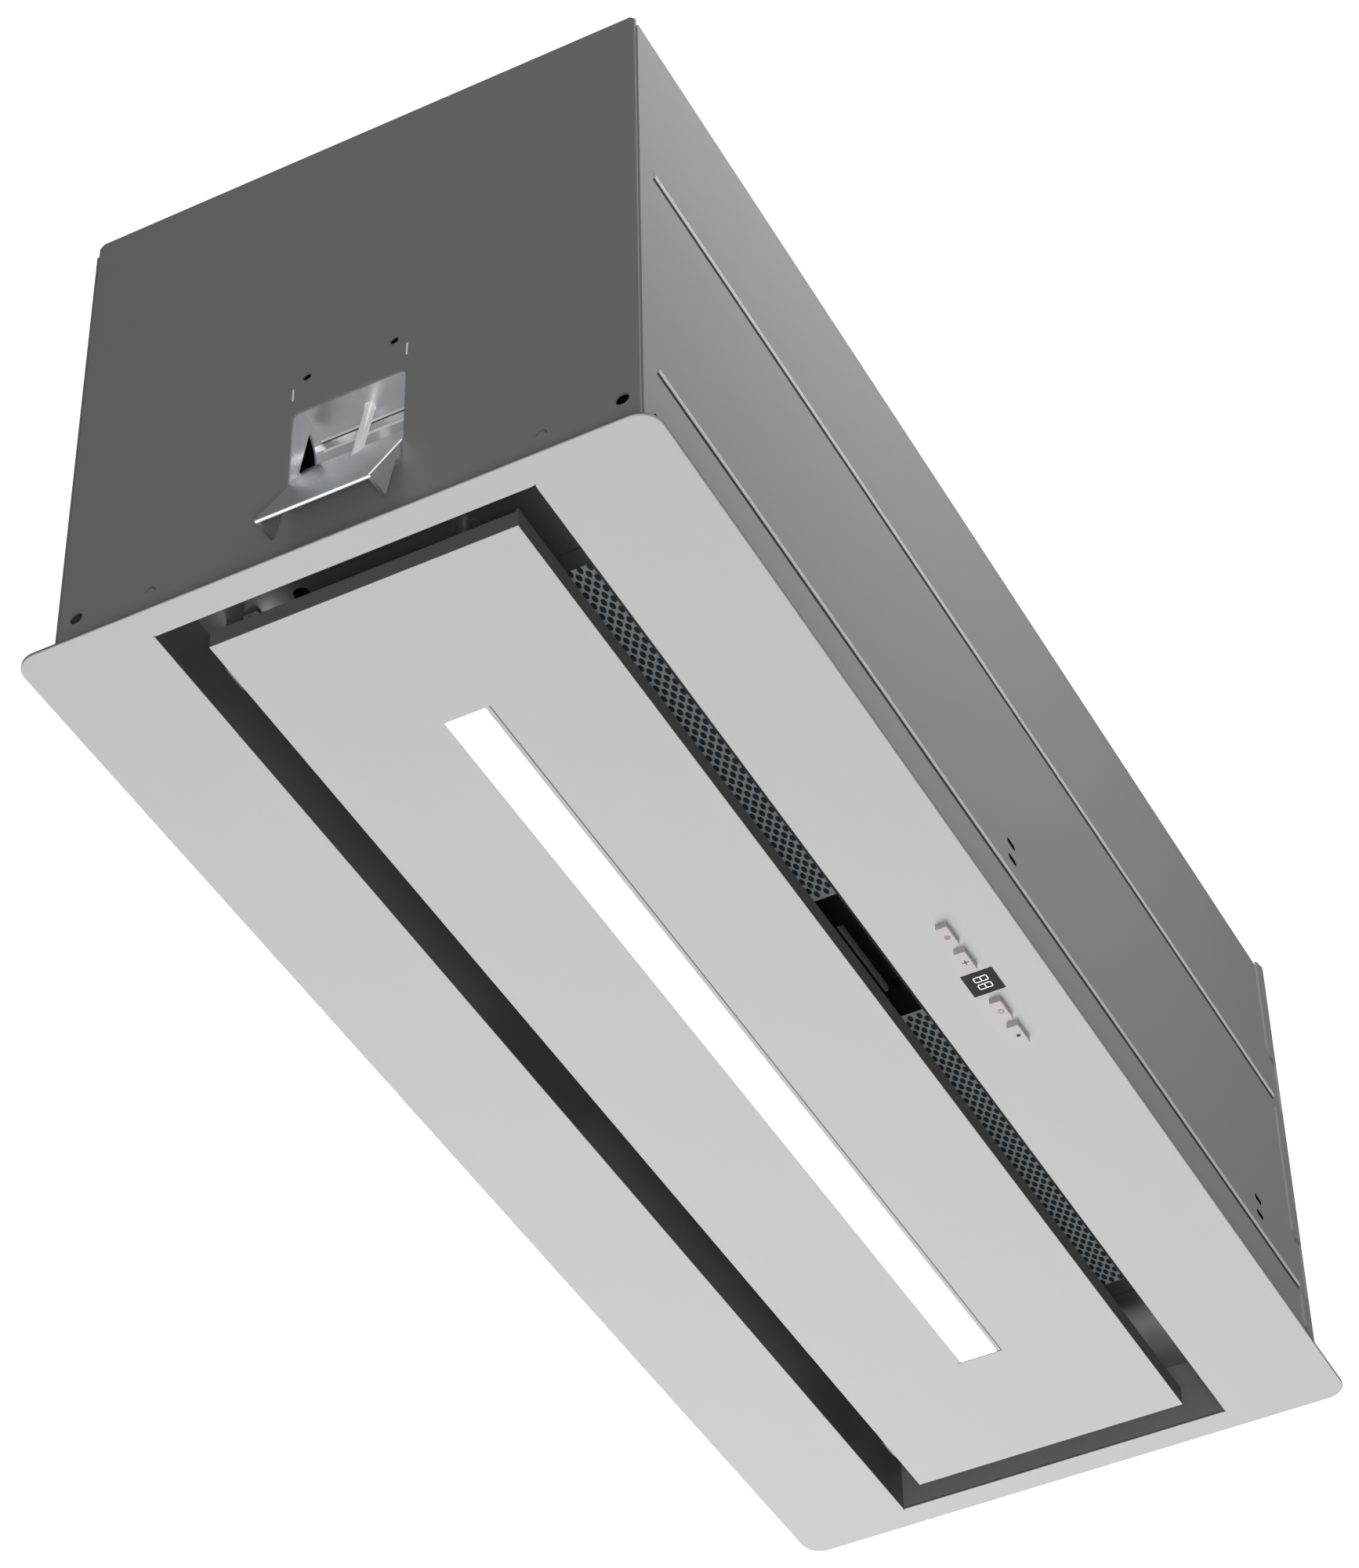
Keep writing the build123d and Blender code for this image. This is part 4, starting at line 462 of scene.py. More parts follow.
    def _roughened(self, wiring: Wiring, finish: Finish, effect: bpy.types.Node,
                   shader: bpy.types.Node) -> None:
        """Vary the roughness with the effect and raise its structure.

        Args:
            wiring: The material's node tree.
            finish: The finish.
            effect: The effect group's node.
            shader: The material's shader.
        """
        rough = wiring.add("ShaderNodeMapRange", {
            "To Min": max(self.least_roughness, finish.roughness * (1 - self.roughness_spread)),
            "To Max": min(1.0, finish.roughness * (1 + self.roughness_spread)),
        })
        wiring.join(effect.outputs["Value"], rough.inputs["Value"])
        wiring.join(rough.outputs["Result"], shader.inputs["Roughness"])
        bump = wiring.add("ShaderNodeBump",
                          {"Distance": finish.depth, "Strength": self.bump_strength})
        wiring.join(effect.outputs["Height"], bump.inputs["Height"])
        wiring.join(bump.outputs["Normal"], shader.inputs["Normal"])

    @staticmethod
    def _seen_only(wiring: Wiring, finish: Finish, shader: bpy.types.Node) -> None:
        """Let the material's own light reach the camera and nothing else.

        Args:
            wiring: The material's node tree.
            finish: The finish.
            shader: The material's shader.
        """
        path = wiring.add("ShaderNodeLightPath")
        share = wiring.add("ShaderNodeMath", {1: finish.glow}, operation="MULTIPLY")
        wiring.join(path.outputs["Is Camera Ray"], share.inputs[0])
        wiring.join(share.outputs[0], shader.inputs["Emission Strength"])


@dataclass(frozen=True)
class Finishes:
    """All finishes of the hood and its surroundings."""

    # Painted shade: the walls above the frame's face are darker than the face.
    frame: Finish = Finish(
        "FrameSatin", srgb(206, 208, 206), roughness=0.5, scale=1500, depth=0.000008, mottle=0.012,
        shine=0.2, painted_shade=0.42,
    )
    # Painted highlight with a faint glow along the crests and brows of the front sheet's beads.
    crest: Finish = Finish(
        "BeadCrestHighlight", srgb(238, 238, 238), roughness=0.5, mottle=0.02, shine=0.2, glow=0.16,
    )
    slot: Finish = Finish("SlotShade", srgb(20, 20, 21), roughness=0.9, shine=0.0)
    # Painted shade along the line and foot of each bead of the front sheet.
    foot: Finish = Finish("BeadFootShade", srgb(96, 96, 96), roughness=0.5, mottle=0.02, shine=0.1)
    recess: Finish = Finish(
        "RecessSteel", srgb(140, 140, 140), metallic=0.6, roughness=0.36, texture=Texture.BRUSHED,
        scale=600, depth=0.00001, mottle=0.12,
    )
    front: Finish = Finish(
        "HousingSatin", srgb(178, 178, 178), roughness=0.5, scale=1200, depth=0.00001, mottle=0.02,
        shine=0.15,
    )
    # Painted shade: the walls above the tray's face are darker than the face.
    tray: Finish = Finish(
        "TraySatin", srgb(206, 208, 206), roughness=0.5, scale=1500, depth=0.000008, mottle=0.012,
        shine=0.2, painted_shade=0.38,
    )
    # The pocket's glow is painted light that brightens it where little lamp light reaches.
    pocket: Finish = Finish(
        "PocketSteelPaintedLight", srgb(222, 224, 226), metallic=0.7, roughness=0.24, texture=Texture.BRUSHED,
        scale=200, depth=0.00003, mottle=0.16, glow=0.09,
    )
    clamp: Finish = Finish(
        "ClampSteel", srgb(224, 227, 230), metallic=0.8, roughness=0.26, scale=500, depth=0.000006,
    )
    glint: Finish = Finish("PocketGlint", srgb(214, 216, 218), roughness=0.4, mottle=0.0, glow=0.3)
    # Painted highlight: bright strips with a glow along the hooks' lip and fold.
    edge: Finish = Finish("PaintedEdgeHighlight", srgb(244, 246, 248), roughness=0.4, mottle=0.0, glow=0.6)
    zinc: Finish = Finish(
        "Galvanised", srgb(172, 178, 183), metallic=0.7, roughness=0.42, texture=Texture.SPANGLE,
        scale=260, depth=0.00001, mottle=0.1,
    )
    # The screw is pale of itself. Its glow is painted light on top.
    rod: Finish = Finish("PaleScrew", srgb(242, 243, 243), metallic=0.3, roughness=0.35, glow=0.3)
    steel: Finish = Finish(
        "PlainSteel", srgb(176, 178, 180), metallic=0.9, roughness=0.32, texture=Texture.BRUSHED,
        depth=0.00001, mottle=0.08,
    )
    aluminium: Finish = Finish(
        "Aluminium", srgb(178, 181, 184), metallic=0.9, roughness=0.36, texture=Texture.BRUSHED,
        scale=700, depth=0.00001, mottle=0.08,
    )
    # Lit and shaded copies of the mesh: the lit one glows faintly as painted light, and the shaded
    # one is painted shade for the holes and the layer behind them.
    mesh_lit: Finish = Finish(
        "MeshLit", srgb(224, 234, 238), metallic=0.2, roughness=0.4, texture=Texture.BRUSHED,
        scale=1600, depth=0.00001, mottle=0.2, glow=0.04,
    )
    mesh_shaded: Finish = Finish(
        "MeshShaded", srgb(76, 90, 100), metallic=0.2, roughness=0.45, texture=Texture.BRUSHED,
        scale=1600, depth=0.00001, mottle=0.2,
    )
    brass: Finish = Finish(
        "BearingMetal", srgb(176, 138, 74), metallic=0.9, roughness=0.4, scale=1500,
    )
    rubber: Finish = Finish(
        "SoftRubber", srgb(26, 26, 27), roughness=0.7, texture=Texture.MOULDED, scale=2500,
        mottle=0.1,
    )
    foam: Finish = Finish(
        "SealFoam", srgb(58, 58, 58), roughness=0.9, texture=Texture.MOULDED, scale=1500,
        depth=0.0001, mottle=0.2,
    )
    black: Finish = Finish(
        "BlackMoulding", srgb(24, 24, 26), roughness=0.5, texture=Texture.MOULDED, scale=2200,
        mottle=0.1,
    )
    grey: Finish = Finish(
        "GreyMoulding", srgb(150, 153, 156), roughness=0.5, texture=Texture.MOULDED, scale=2200,
        mottle=0.05,
    )
    key: Finish = Finish(
        "KeyFace", srgb(213, 207, 205), roughness=0.5, texture=Texture.MOULDED, scale=3000,
        depth=0.000008, mottle=0.02, shine=0.2,
    )
    sign: Finish = Finish("KeySign", srgb(70, 66, 66), roughness=0.5, scale=3000, shine=0.2)
    sign_soft: Finish = Finish(
        "KeySignSoft", srgb(164, 158, 157), roughness=0.5, scale=3000, shine=0.2,
    )
    window: Finish = Finish(
        "DisplayBlack", srgb(60, 58, 60), roughness=0.7, scale=2000, depth=0.000002, shine=0.1,
    )
    gap: Finish = Finish("ShadowGap", srgb(104, 104, 104), roughness=0.6, shine=0.1)
    digit: Finish = Finish("DigitLight", (1.0, 1.0, 1.0), roughness=0.4, glow=0.7)
    lens: Finish = Finish("OpalLens", (1.0, 1.0, 1.0), roughness=0.3, glow=2.2)
    board: Finish = Finish("CircuitBoard", srgb(32, 84, 56), roughness=0.4, scale=1500, mottle=0.15)
    backdrop: Finish = Finish(
        "Backdrop", (1.0, 1.0, 1.0), roughness=0.9, mottle=0.0, glow=0.98, seen_only=True,
    )
    floor: Finish = Finish(
        "Floor", (0.84, 0.84, 0.84), roughness=0.9, mottle=0.0, glow=0.95, seen_only=True,
    )


FINISH = Finishes()


class Workshop:
    """Makes mesh pieces with Blender's own operators and leaves them at the origin, unscaled."""

    bevel_segments = 2
    ring_segments = 24
    ring_section_sides = 6

    @staticmethod
    def _settle(name: str) -> bpy.types.Object:
        """Name the active piece and apply its place, turn and size.

        Args:
            name: Name for the piece.

        Returns:
            The piece.
        """
        piece = bpy.context.active_object
        piece.name = name
        bpy.ops.object.transform_apply(location=True, rotation=True, scale=True)
        return piece

    def plate(self, name: str, centre: Triple, size: Triple, turn: Triple = (0, 0, 0),
              round_off: float = 0.0) -> bpy.types.Object:
        """Make a straight-sided piece.

        Args:
            name: Name for the piece.
            centre: Its centre in metres.
            size: Its length along each axis in metres.
            turn: Euler angles in radians.
            round_off: Radius of its rounded edges in metres.

        Returns:
            The piece.
        """
        bpy.ops.mesh.primitive_cube_add(size=1, location=centre, rotation=turn, scale=size)
        piece = self._settle(name)
        if round_off > 0:
            bpy.ops.object.mode_set(mode="EDIT")
            bpy.ops.mesh.select_all(action="SELECT")
            bpy.ops.mesh.bevel(offset=round_off, segments=self.bevel_segments, affect="EDGES")
            bpy.ops.object.mode_set(mode="OBJECT")
        return piece

    def oval(self, name: str, centre: Triple, size: Triple, sides: int) -> bpy.types.Object:
        """Make a round or oval piece that lies flat.

        Args:
            name: Name for the piece.
            centre: Its centre in metres.
            size: Its length along each axis in metres.
            sides: Number of sides.

        Returns:
            The piece.
        """
        bpy.ops.mesh.primitive_cylinder_add(
            vertices=sides, radius=0.5, depth=1, location=centre, scale=size,
        )
        return self._settle(name)

    def ring(self, name: str, centre: Triple, radius: float, thickness: float) -> bpy.types.Object:
        """Make a ring that lies flat.

        Args:
            name: Name for the piece.
            centre: Its centre in metres.
            radius: Radius of its centre line in metres.
            thickness: Radius of its section in metres.

        Returns:
            The piece.
        """
        bpy.ops.mesh.primitive_torus_add(
            major_radius=radius, minor_radius=thickness, major_segments=self.ring_segments,
            minor_segments=self.ring_section_sides, location=centre,
        )
        return self._settle(name)

    @staticmethod
    def join(name: str, pieces: Sequence[bpy.types.Object]) -> bpy.types.Object:
        """Join pieces into one mesh.

        Args:
            name: Name for the result.
            pieces: The pieces.

        Returns:
            The joined piece.
        """
        bpy.ops.object.select_all(action="DESELECT")
        for piece in pieces:
            piece.select_set(True)
        bpy.context.view_layer.objects.active = pieces[0]
        bpy.ops.object.join()
        joined = bpy.context.active_object
        joined.name = name
        return joined

    @staticmethod
    def repeat(piece: bpy.types.Object, count: int, step: Triple) -> None:
        """Repeat a piece along a line inside its own mesh.

        Args:
            piece: The piece.
            count: How many in all.
            step: Distance from one to the next in metres.
        """
        array = piece.modifiers.new("Row", "ARRAY")
        array.count = count
        array.use_relative_offset = False
        array.use_constant_offset = True
        array.constant_offset_displace = tuple(step)
        bpy.ops.object.select_all(action="DESELECT")
        piece.select_set(True)
        bpy.context.view_layer.objects.active = piece
        bpy.ops.object.modifier_apply(modifier="Row")

    @staticmethod
    def finish(piece: bpy.types.Object, material: bpy.types.Material, body: str, slot: str) -> None:
        """Give a piece its material and body.

        Args:
            piece: The piece.
            material: Its material.
            body: Name of the body that it rides on.
            slot: Not used.
        """
        piece.data.materials.clear()
        piece.data.materials.append(material)
        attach(piece, body)
        LOG.info("piece %s rides on %s", piece.name, body)


class SubAssembly:
    """A group of CAD nodes that are dressed together, with the fine pieces on them."""

    def __init__(self, paint: Paintbox, shop: Workshop) -> None:
        """Keep the tools.

        Args:
            paint: Gives materials.
            shop: Makes pieces.
        """
        self.paint = paint
        self.shop = shop

    def dress(self) -> None:
        """Give the nodes their finishes."""
        raise NotImplementedError

    def build(self) -> None:
        """Make the fine pieces, where the sub-assembly has any."""

    def hand_over(self, piece: bpy.types.Object, finish: Finish, body: str, slot: Slot) -> None:
        """Finish a fine piece and let it ride on its body.

        Args:
            piece: The piece.
            finish: Its finish.
            body: Name of the body that it rides on.
            slot: Its material slot in the record.
        """
        self.shop.finish(piece, self.paint.get(finish), body, slot.value)


@dataclass(frozen=True)
class BeadStrip:
    """A thin strip of light or shade along a bead of the front sheet.

    Attributes:
        part: The part of the bead that it stands for.
        drop: How far it lies below the bead's height in millimetres.
        width: Its width in millimetres.
        out: How far in front of the hood's middle it lies in millimetres.
        lean: Its turn about X in radians.
        finish: Its finish.
    """

    part: str
    drop: float
    width: float
    out: float
    lean: float
    finish: Finish


@dataclass(frozen=True)
class BeadSizes:
    """Lines along the beads and shade in the slots of the front sheet in millimetres."""

    heights: tuple[tuple[str, float], ...] = (("lower", 50.1), ("upper", 165.6))
    length: float = 651.0
    thickness: float = 0.08
    strips: tuple[BeadStrip, ...] = (
        BeadStrip("crest", drop=0.25, width=0.7, out=131.2, lean=0.0, finish=FINISH.crest),
        BeadStrip("brow", drop=1.02, width=1.0, out=130.92, lean=0.588, finish=FINISH.crest),
        BeadStrip("line", drop=-0.27, width=0.3, out=131.2, lean=0.0, finish=FINISH.foot),
        BeadStrip("foot", drop=1.95, width=1.05, out=130.3, lean=0.588, finish=FINISH.foot),
    )
    slot_columns: tuple[float, ...] = (2.0, 282.0)
    slot_heights: tuple[float, ...] = (62.0, 71.0)
    shade_length: float = 8.0
    shade_out: float = 129.88
    shade_thickness: float = 0.16
    shade_height: float = 3.0


class Housing(SubAssembly):
    """Sheet-metal housing with its seal strips and screws."""

    beads = BeadSizes()

    def dress(self) -> None:
        """Give the sheets their finishes."""
        sheets = ("front_sheet", "rear_sheet", "end_plate_near", "end_plate_far")
        self.paint.dress(sheets, FINISH.front)
        self.paint.dress(("top_plate",), FINISH.zinc)
        self.paint.dress(("seal_strips",), FINISH.foam)
        self.paint.dress(("pan_screws",), FINISH.steel)

    def build(self) -> None:
        """Draw light and shade along each bead and fill the slots with shade."""
        size = self.beads
        for label, height in size.heights:
            for strip in size.strips:
                piece = self.shop.plate(
                    f"bead_{strip.part}_{label}",
                    (0, -strip.out * MM, (height - strip.drop) * MM),
                    (size.length * MM, size.thickness * MM, strip.width * MM),
                    turn=(strip.lean, 0, 0),
                )
                self.hand_over(piece, strip.finish, Body.HOOD.value, Slot.HOUSING)
        shades = [
            self.shop.plate(
                "shade", (x * MM, -size.shade_out * MM, z * MM),
                (size.shade_length * MM, size.shade_thickness * MM, size.shade_height * MM),
            )
            for x in size.slot_columns for z in size.slot_heights
        ]
        piece = self.shop.join("slot_shades", shades)
        self.hand_over(piece, FINISH.slot, Body.HOOD.value, Slot.DARK)


class FramePanel(SubAssembly):
    """Visible frame with the recess behind it."""

    def dress(self) -> None:
        """Give frame and recess their finishes."""
        self.paint.dress(("frame_panel",), FINISH.frame)
        self.paint.dress(("recess_channel",), FINISH.recess)
        self.paint.dress(("hinge_brackets", "catch_magnets", "hinge_pins"), FINISH.recess)


@dataclass(frozen=True)
class DigitSizes:
    """Sizes of the display's film and its two digits in millimetres."""

    x: float = 1.45
    y: float = -112.1
    face_z: float = -0.06
    film_x: float = 14.9
    film_y: float = 14.5
    height: float = 5.9
    width: float = 3.0
    pitch: float = 4.8
    stroke: float = 0.37
    thickness: float = 0.06


@dataclass(frozen=True)
class KeySizes:
    """Sizes of the proud key faces and their signs in millimetres.

    The frame's face lies at Z = 0 and looks down, so what stands proud of it has a negative Z.
    """

    first_x: float = -34.15
    pitch: float = 17.8
    y: float = -112.1
    face_z: float = -2.8
    back_z: float = 4.4
    length: float = 13.0
    depth: float = 5.1
    edge: float = 0.12
    light_radius: float = 1.38
    power_radius: float = 0.9775
    timer_radius: float = 1.15
    timer_section: float = 0.22
    plus_length: float = 3.0
    plus_stroke: float = 0.5
    sign_thickness: float = 0.05
    sign_sides: int = 24

    def x(self, key: Key) -> float:
        """Give the place of a key along the row.

        Args:
            key: The key.

        Returns:
            Its X in metres.
        """
        return (self.first_x + key.value * self.pitch) * MM


class Controls(SubAssembly):
    """Keys with their signs and the two-digit display."""

    digits = DigitSizes()
    keys = KeySizes()

    def dress(self) -> None:
        """Give keys, window and board their finishes."""
        self.paint.dress((f"key_{key.label}" for key in Key), FINISH.key)
        self.paint.dress(("display_window",), FINISH.window)
        self.paint.dress(("key_housing",), FINISH.grey)
        self.paint.dress(("control_board",), FINISH.board)

    def build(self) -> None:
        """Make the display, the key faces and the signs."""
        self._film()
        self._digits()
        self._faces()
        self._signs()

    def _film(self) -> None:
        """Lay the film over the display's window."""
        size = self.digits
        film = self.shop.plate(
            "display_film", (size.x * MM, size.y * MM, size.face_z / 2 * MM),
            (size.film_x * MM, size.film_y * MM, -size.face_z * MM),
        )
        self.hand_over(film, FINISH.window, Body.HOOD.value, Slot.GLOSS)

    def _digits(self) -> None:
        """Make the seven strokes of both digits on the film."""
        size = self.digits
        level_stroke = (size.width - size.stroke, size.stroke, size.thickness)
        upright_stroke = (size.stroke, size.height / 2 - size.stroke, size.thickness)
        strokes = []
        for side in (-1, 1):
            x = size.x + side * size.pitch / 2
            places = [(x, size.y + level * size.height / 2, level_stroke) for level in (-1, 0, 1)]
            places += [
                (x + flank * size.width / 2, size.y + level * size.height / 4, upright_stroke)
                for flank in (-1, 1) for level in (-1, 1)
            ]
            for x_middle, y_middle, lengths in places:
                centre = (x_middle, y_middle, size.face_z - size.thickness / 2)
                strokes.append(self.shop.plate("stroke", in_metres(centre), in_metres(lengths)))
        piece = self.shop.join("display_digits", strokes)
        self.hand_over(piece, FINISH.digit, Body.HOOD.value, Slot.OPAL)

    def _faces(self) -> None:
        """Fit a proud face over each key."""
        size = self.keys
        middle = (size.face_z + size.back_z) / 2 * MM
        for key in Key:
            face = self.shop.plate(
                f"key_face_{key.label}", (size.x(key), size.y * MM, middle),
                (size.length * MM, size.depth * MM, (size.back_z - size.face_z) * MM),
                round_off=size.edge * MM,
            )
            self.hand_over(face, FINISH.key, key.body, Slot.KEY)

    def _signs(self) -> None:
        """Make one sign on each key."""
        made = {
            Key.LIGHT: self._dot(Key.LIGHT, self.keys.light_radius),
            Key.TIMER: self._timer(),
            Key.POWER: self._dot(Key.POWER, self.keys.power_radius),
            Key.PLUS: self._plus(),
        }
        for key, piece in made.items():
            piece.name = f"sign_{key.label}"
            finish = FINISH.sign if key in (Key.PLUS, Key.POWER) else FINISH.sign_soft
            self.hand_over(piece, finish, key.body, Slot.KEY)

    def _sign_place(self, key: Key) -> tuple[float, float, float]:
        """Give the middle of a flat sign in metres.

        Args:
            key: The key that carries it.

        Returns:
            Its X, Y and Z.
        """
        size = self.keys
        return size.x(key), size.y * MM, (size.face_z - size.sign_thickness / 2) * MM

    def _dot(self, key: Key, radius: float) -> bpy.types.Object:
        """Make a round sign.

        Args:
            key: The key that carries it.
            radius: Its radius in millimetres.

        Returns:
            The sign.
        """
        size = self.keys
        lengths = in_metres((2 * radius, 2 * radius, size.sign_thickness))
        return self.shop.oval("sign", self._sign_place(key), lengths, size.sign_sides)

    def _timer(self) -> bpy.types.Object:
        """Make the timer's ring, which lies half in the key's face.

        Returns:
            The sign.
        """
        size = self.keys
        centre = (size.x(Key.TIMER), size.y * MM, size.face_z * MM)
        return self.shop.ring("sign", centre, size.timer_radius * MM, size.timer_section * MM)

    def _plus(self) -> bpy.types.Object:
        """Make the plus of two bars.

        Returns:
            The sign.
        """
        size = self.keys
        long, short, thick = size.plus_length, size.plus_stroke, size.sign_thickness
        bars = [
            self.shop.plate("bar", self._sign_place(Key.PLUS), in_metres(lengths))
            for lengths in ((long, short, thick), (short, long, thick))
        ]
        return self.shop.join("sign", bars)


@dataclass(frozen=True)
class LensGapSizes:
    """Sizes of the shadow gap round the light strip in millimetres."""

    half_x: float = 241.5
    half_y: float = 11.0
    width: float = 0.5
    thickness: float = 0.06


class CentrePanel(SubAssembly):
    """Drop-down panel with the light strip."""

    lens_gap = LensGapSizes()

    def dress(self) -> None:
        """Give the panel and its light their finishes."""
        self.paint.dress(("centre_panel",), FINISH.tray)
        self.paint.dress(("light_lens",), FINISH.lens)
        self.paint.dress(("light_channel",), FINISH.aluminium)
        self.paint.dress(("light_board",), FINISH.board)
        self.paint.dress(("hinge_leaves", "catch_strikes"), FINISH.zinc)

    def build(self) -> None:
        """Draw the shadow gap along the front and the far end of the light strip."""
        size = self.lens_gap
        front = (0, -(size.half_y + size.width / 2), 0)
        front_lengths = (2 * size.half_x, size.width, size.thickness)
        far = (size.half_x - size.width / 2, 0, 0)
        far_lengths = (size.width, 2 * size.half_y, size.thickness)
        lines = [
            self.shop.plate("line", in_metres(centre), in_metres(lengths))
            for centre, lengths in ((front, front_lengths), (far, far_lengths))
        ]
        piece = self.shop.join("lens_gap", lines)
        self.hand_over(piece, FINISH.gap, Body.PANEL.value, Slot.FRAME)


@dataclass(frozen=True)
class MeshSizes:
    """Sizes of the expanded mesh in millimetres."""

    inner_x: float = 42.4
    outer_x: float = 262.0
    half_y: float = 67.0
    face_z: float = 34.6
    pitch_x: float = 6.58
    pitch_y: float = 2.2
    hole_x: float = 4.3
    hole_y: float = 2.3
    sheet: float = 0.3
    proud: float = 0.04
    hole_sides: int = 8


class GreaseFilter(SubAssembly):
    """Grease filter with its expanded mesh and grip."""

    sizes = MeshSizes()

    def dress(self) -> None:
        """Give the filter its finishes."""
        self.paint.dress(("filter_frame",), FINISH.recess)
        # The CAD mesh takes the shaded copy: painted shade.
        self.paint.dress(("filter_mesh",), FINISH.mesh_shaded)
        self.paint.dress(("filter_grip",), FINISH.black)
        self.paint.dress(("grip_bar",), FINISH.grey)
        self.paint.dress(("filter_clips",), FINISH.steel)

    def build(self) -> None:
        """Lay the lit mesh sheets and their holes, dark discs of painted shade, on both sides of
        the grip.
        """
        size = self.sizes
        middle = (size.inner_x + size.outer_x) / 2
        lengths = (size.outer_x - size.inner_x, 2 * size.half_y, size.sheet)
        for label, side in (("near", -1), ("far", 1)):
            centre = (side * middle, 0, size.face_z + size.sheet / 2)
            sheet = self.shop.plate(f"mesh_sheet_{label}", in_metres(centre), in_metres(lengths))
            holes = self._holes(f"mesh_holes_{label}", side)
            self.hand_over(sheet, FINISH.mesh_lit, Body.FILTER.value, Slot.MESH)
            self.hand_over(holes, FINISH.mesh_shaded, Body.FILTER.value, Slot.MESH)

    def _holes(self, name: str, side: int) -> bpy.types.Object:
        """Make the staggered lens-shaped holes of one mesh sheet as flat dark discs of painted
        shade.

        Args:
            name: Name for the piece.
            side: -1 for the near sheet, 1 for the far sheet.

        Returns:
            The holes in one piece.
        """
        size = self.sizes
        rows = int(2 * size.half_y / size.pitch_y)
        run = size.outer_x - size.inner_x - size.hole_x - size.pitch_x / 2
        columns = 1 + int(run / size.pitch_x)
        rounds = []
        # Odd rows start half a pitch further in, and the count of columns leaves room for that.
        for parity in (0, 1):
            start = size.outer_x - size.hole_x / 2 - parity * size.pitch_x / 2
            y = -size.half_y + (parity + 0.5) * size.pitch_y
            z = size.face_z - size.proud / 2
            lengths = in_metres((size.hole_x, size.hole_y, size.proud))
            hole = self.shop.oval(
                "hole", in_metres((side * start, y, z)), lengths, size.hole_sides,
            )
            self.shop.repeat(hole, columns, in_metres((-side * size.pitch_x, 0, 0)))
            self.shop.repeat(
                hole, (rows + 1 - parity) // 2, in_metres((0, 2 * size.pitch_y, 0)),
            )
            rounds.append(hole)
        return self.shop.join(name, rounds)


@dataclass(frozen=True)
class Glint:
    """A line of light or shade on the pocket's bead.

    Attributes:
        x: Its distance from the hood's middle in millimetres.
        z: Its height in millimetres.
        width: Its width in millimetres.
        finish: Its finish.
    """

    x: float
    z: float
    width: float
    finish: Finish


@dataclass(frozen=True)
class HookSizes:
    """Painted highlights on the edges of a hook and painted lines of light and shade on its pocket
    in millimetres, slope in radians.
    """

    half_y: float = 25.2
    slope: float = 0.499
    lip_x: float = 358.66
    lip_z: float = 13.61
    lip_width: float = 0.9
    fold_x: float = 348.15
    fold_z: float = 34.45
    fold_width: float = 0.4
    fold_length: float = 46.6
    thickness: float = 0.08
    glint_length: float = 48.4
    glints: tuple[Glint, ...] = (
        Glint(x=317.56, z=97.9, width=1.2, finish=FINISH.glint),
        Glint(x=315.56, z=94.0, width=1.4, finish=FINISH.glint),
        Glint(x=317.56, z=96.7, width=0.8, finish=FINISH.gap),
    )


class Clamps(SubAssembly):
    """Clamp pockets, hooks, nuts and screws at both ends."""

    hook = HookSizes()

    def dress(self) -> None:
        """Give the clamps their finishes."""
        for end in ("near", "far"):
            self.paint.dress((f"clamp_pocket_{end}",), FINISH.pocket)
            self.paint.dress((f"clamp_hook_{end}",), FINISH.clamp)
            self.paint.dress((f"clamp_nut_{end}",), FINISH.steel)
            self.paint.dress((f"clamp_screw_{end}",), FINISH.rod)

    def build(self) -> None:
        """Paint highlights on the edges of both hooks and draw the painted glints and shade lines
        on the pockets' beads.
        """
        size = self.hook
        for end, side, body in (("near", -1, Body.HOOK_NEAR), ("far", 1, Body.HOOK_FAR)):
            turn = (0, -side * size.slope, 0)
            lip = self.shop.plate(
                "lip", in_metres((side * size.lip_x, 0, size.lip_z)),
                in_metres((size.lip_width, 2 * size.half_y, size.thickness)), turn=turn,
            )
            fold = self.shop.plate(
                "fold", in_metres((side * size.fold_x, -size.half_y, size.fold_z)),
                in_metres((size.fold_width, size.fold_width, size.fold_length)), turn=turn,
            )
            piece = self.shop.join(f"hook_edge_highlight_{end}", [lip, fold])
            self.hand_over(piece, FINISH.edge, body.value, Slot.CLAMP)
            for number, glint in enumerate(size.glints, 1):
                line = self.shop.plate(
                    f"pocket_glint_{end}_{number}", in_metres((side * glint.x, 0, glint.z)),
                    in_metres((size.thickness, size.glint_length, glint.width)),
                )
                self.hand_over(line, glint.finish, Body.HOOD.value, Slot.CLAMP)


class Outlet(SubAssembly):
    """Outlet collar with its flaps and the mains gland."""

    def dress(self) -> None:
        """Give the outlet its finishes."""
        self.paint.dress(("outlet_collar", "mains_gland"), FINISH.black)
        self.paint.dress(("flap_near", "flap_far"), FINISH.grey)
        self.paint.dress(("flap_pin",), FINISH.steel)


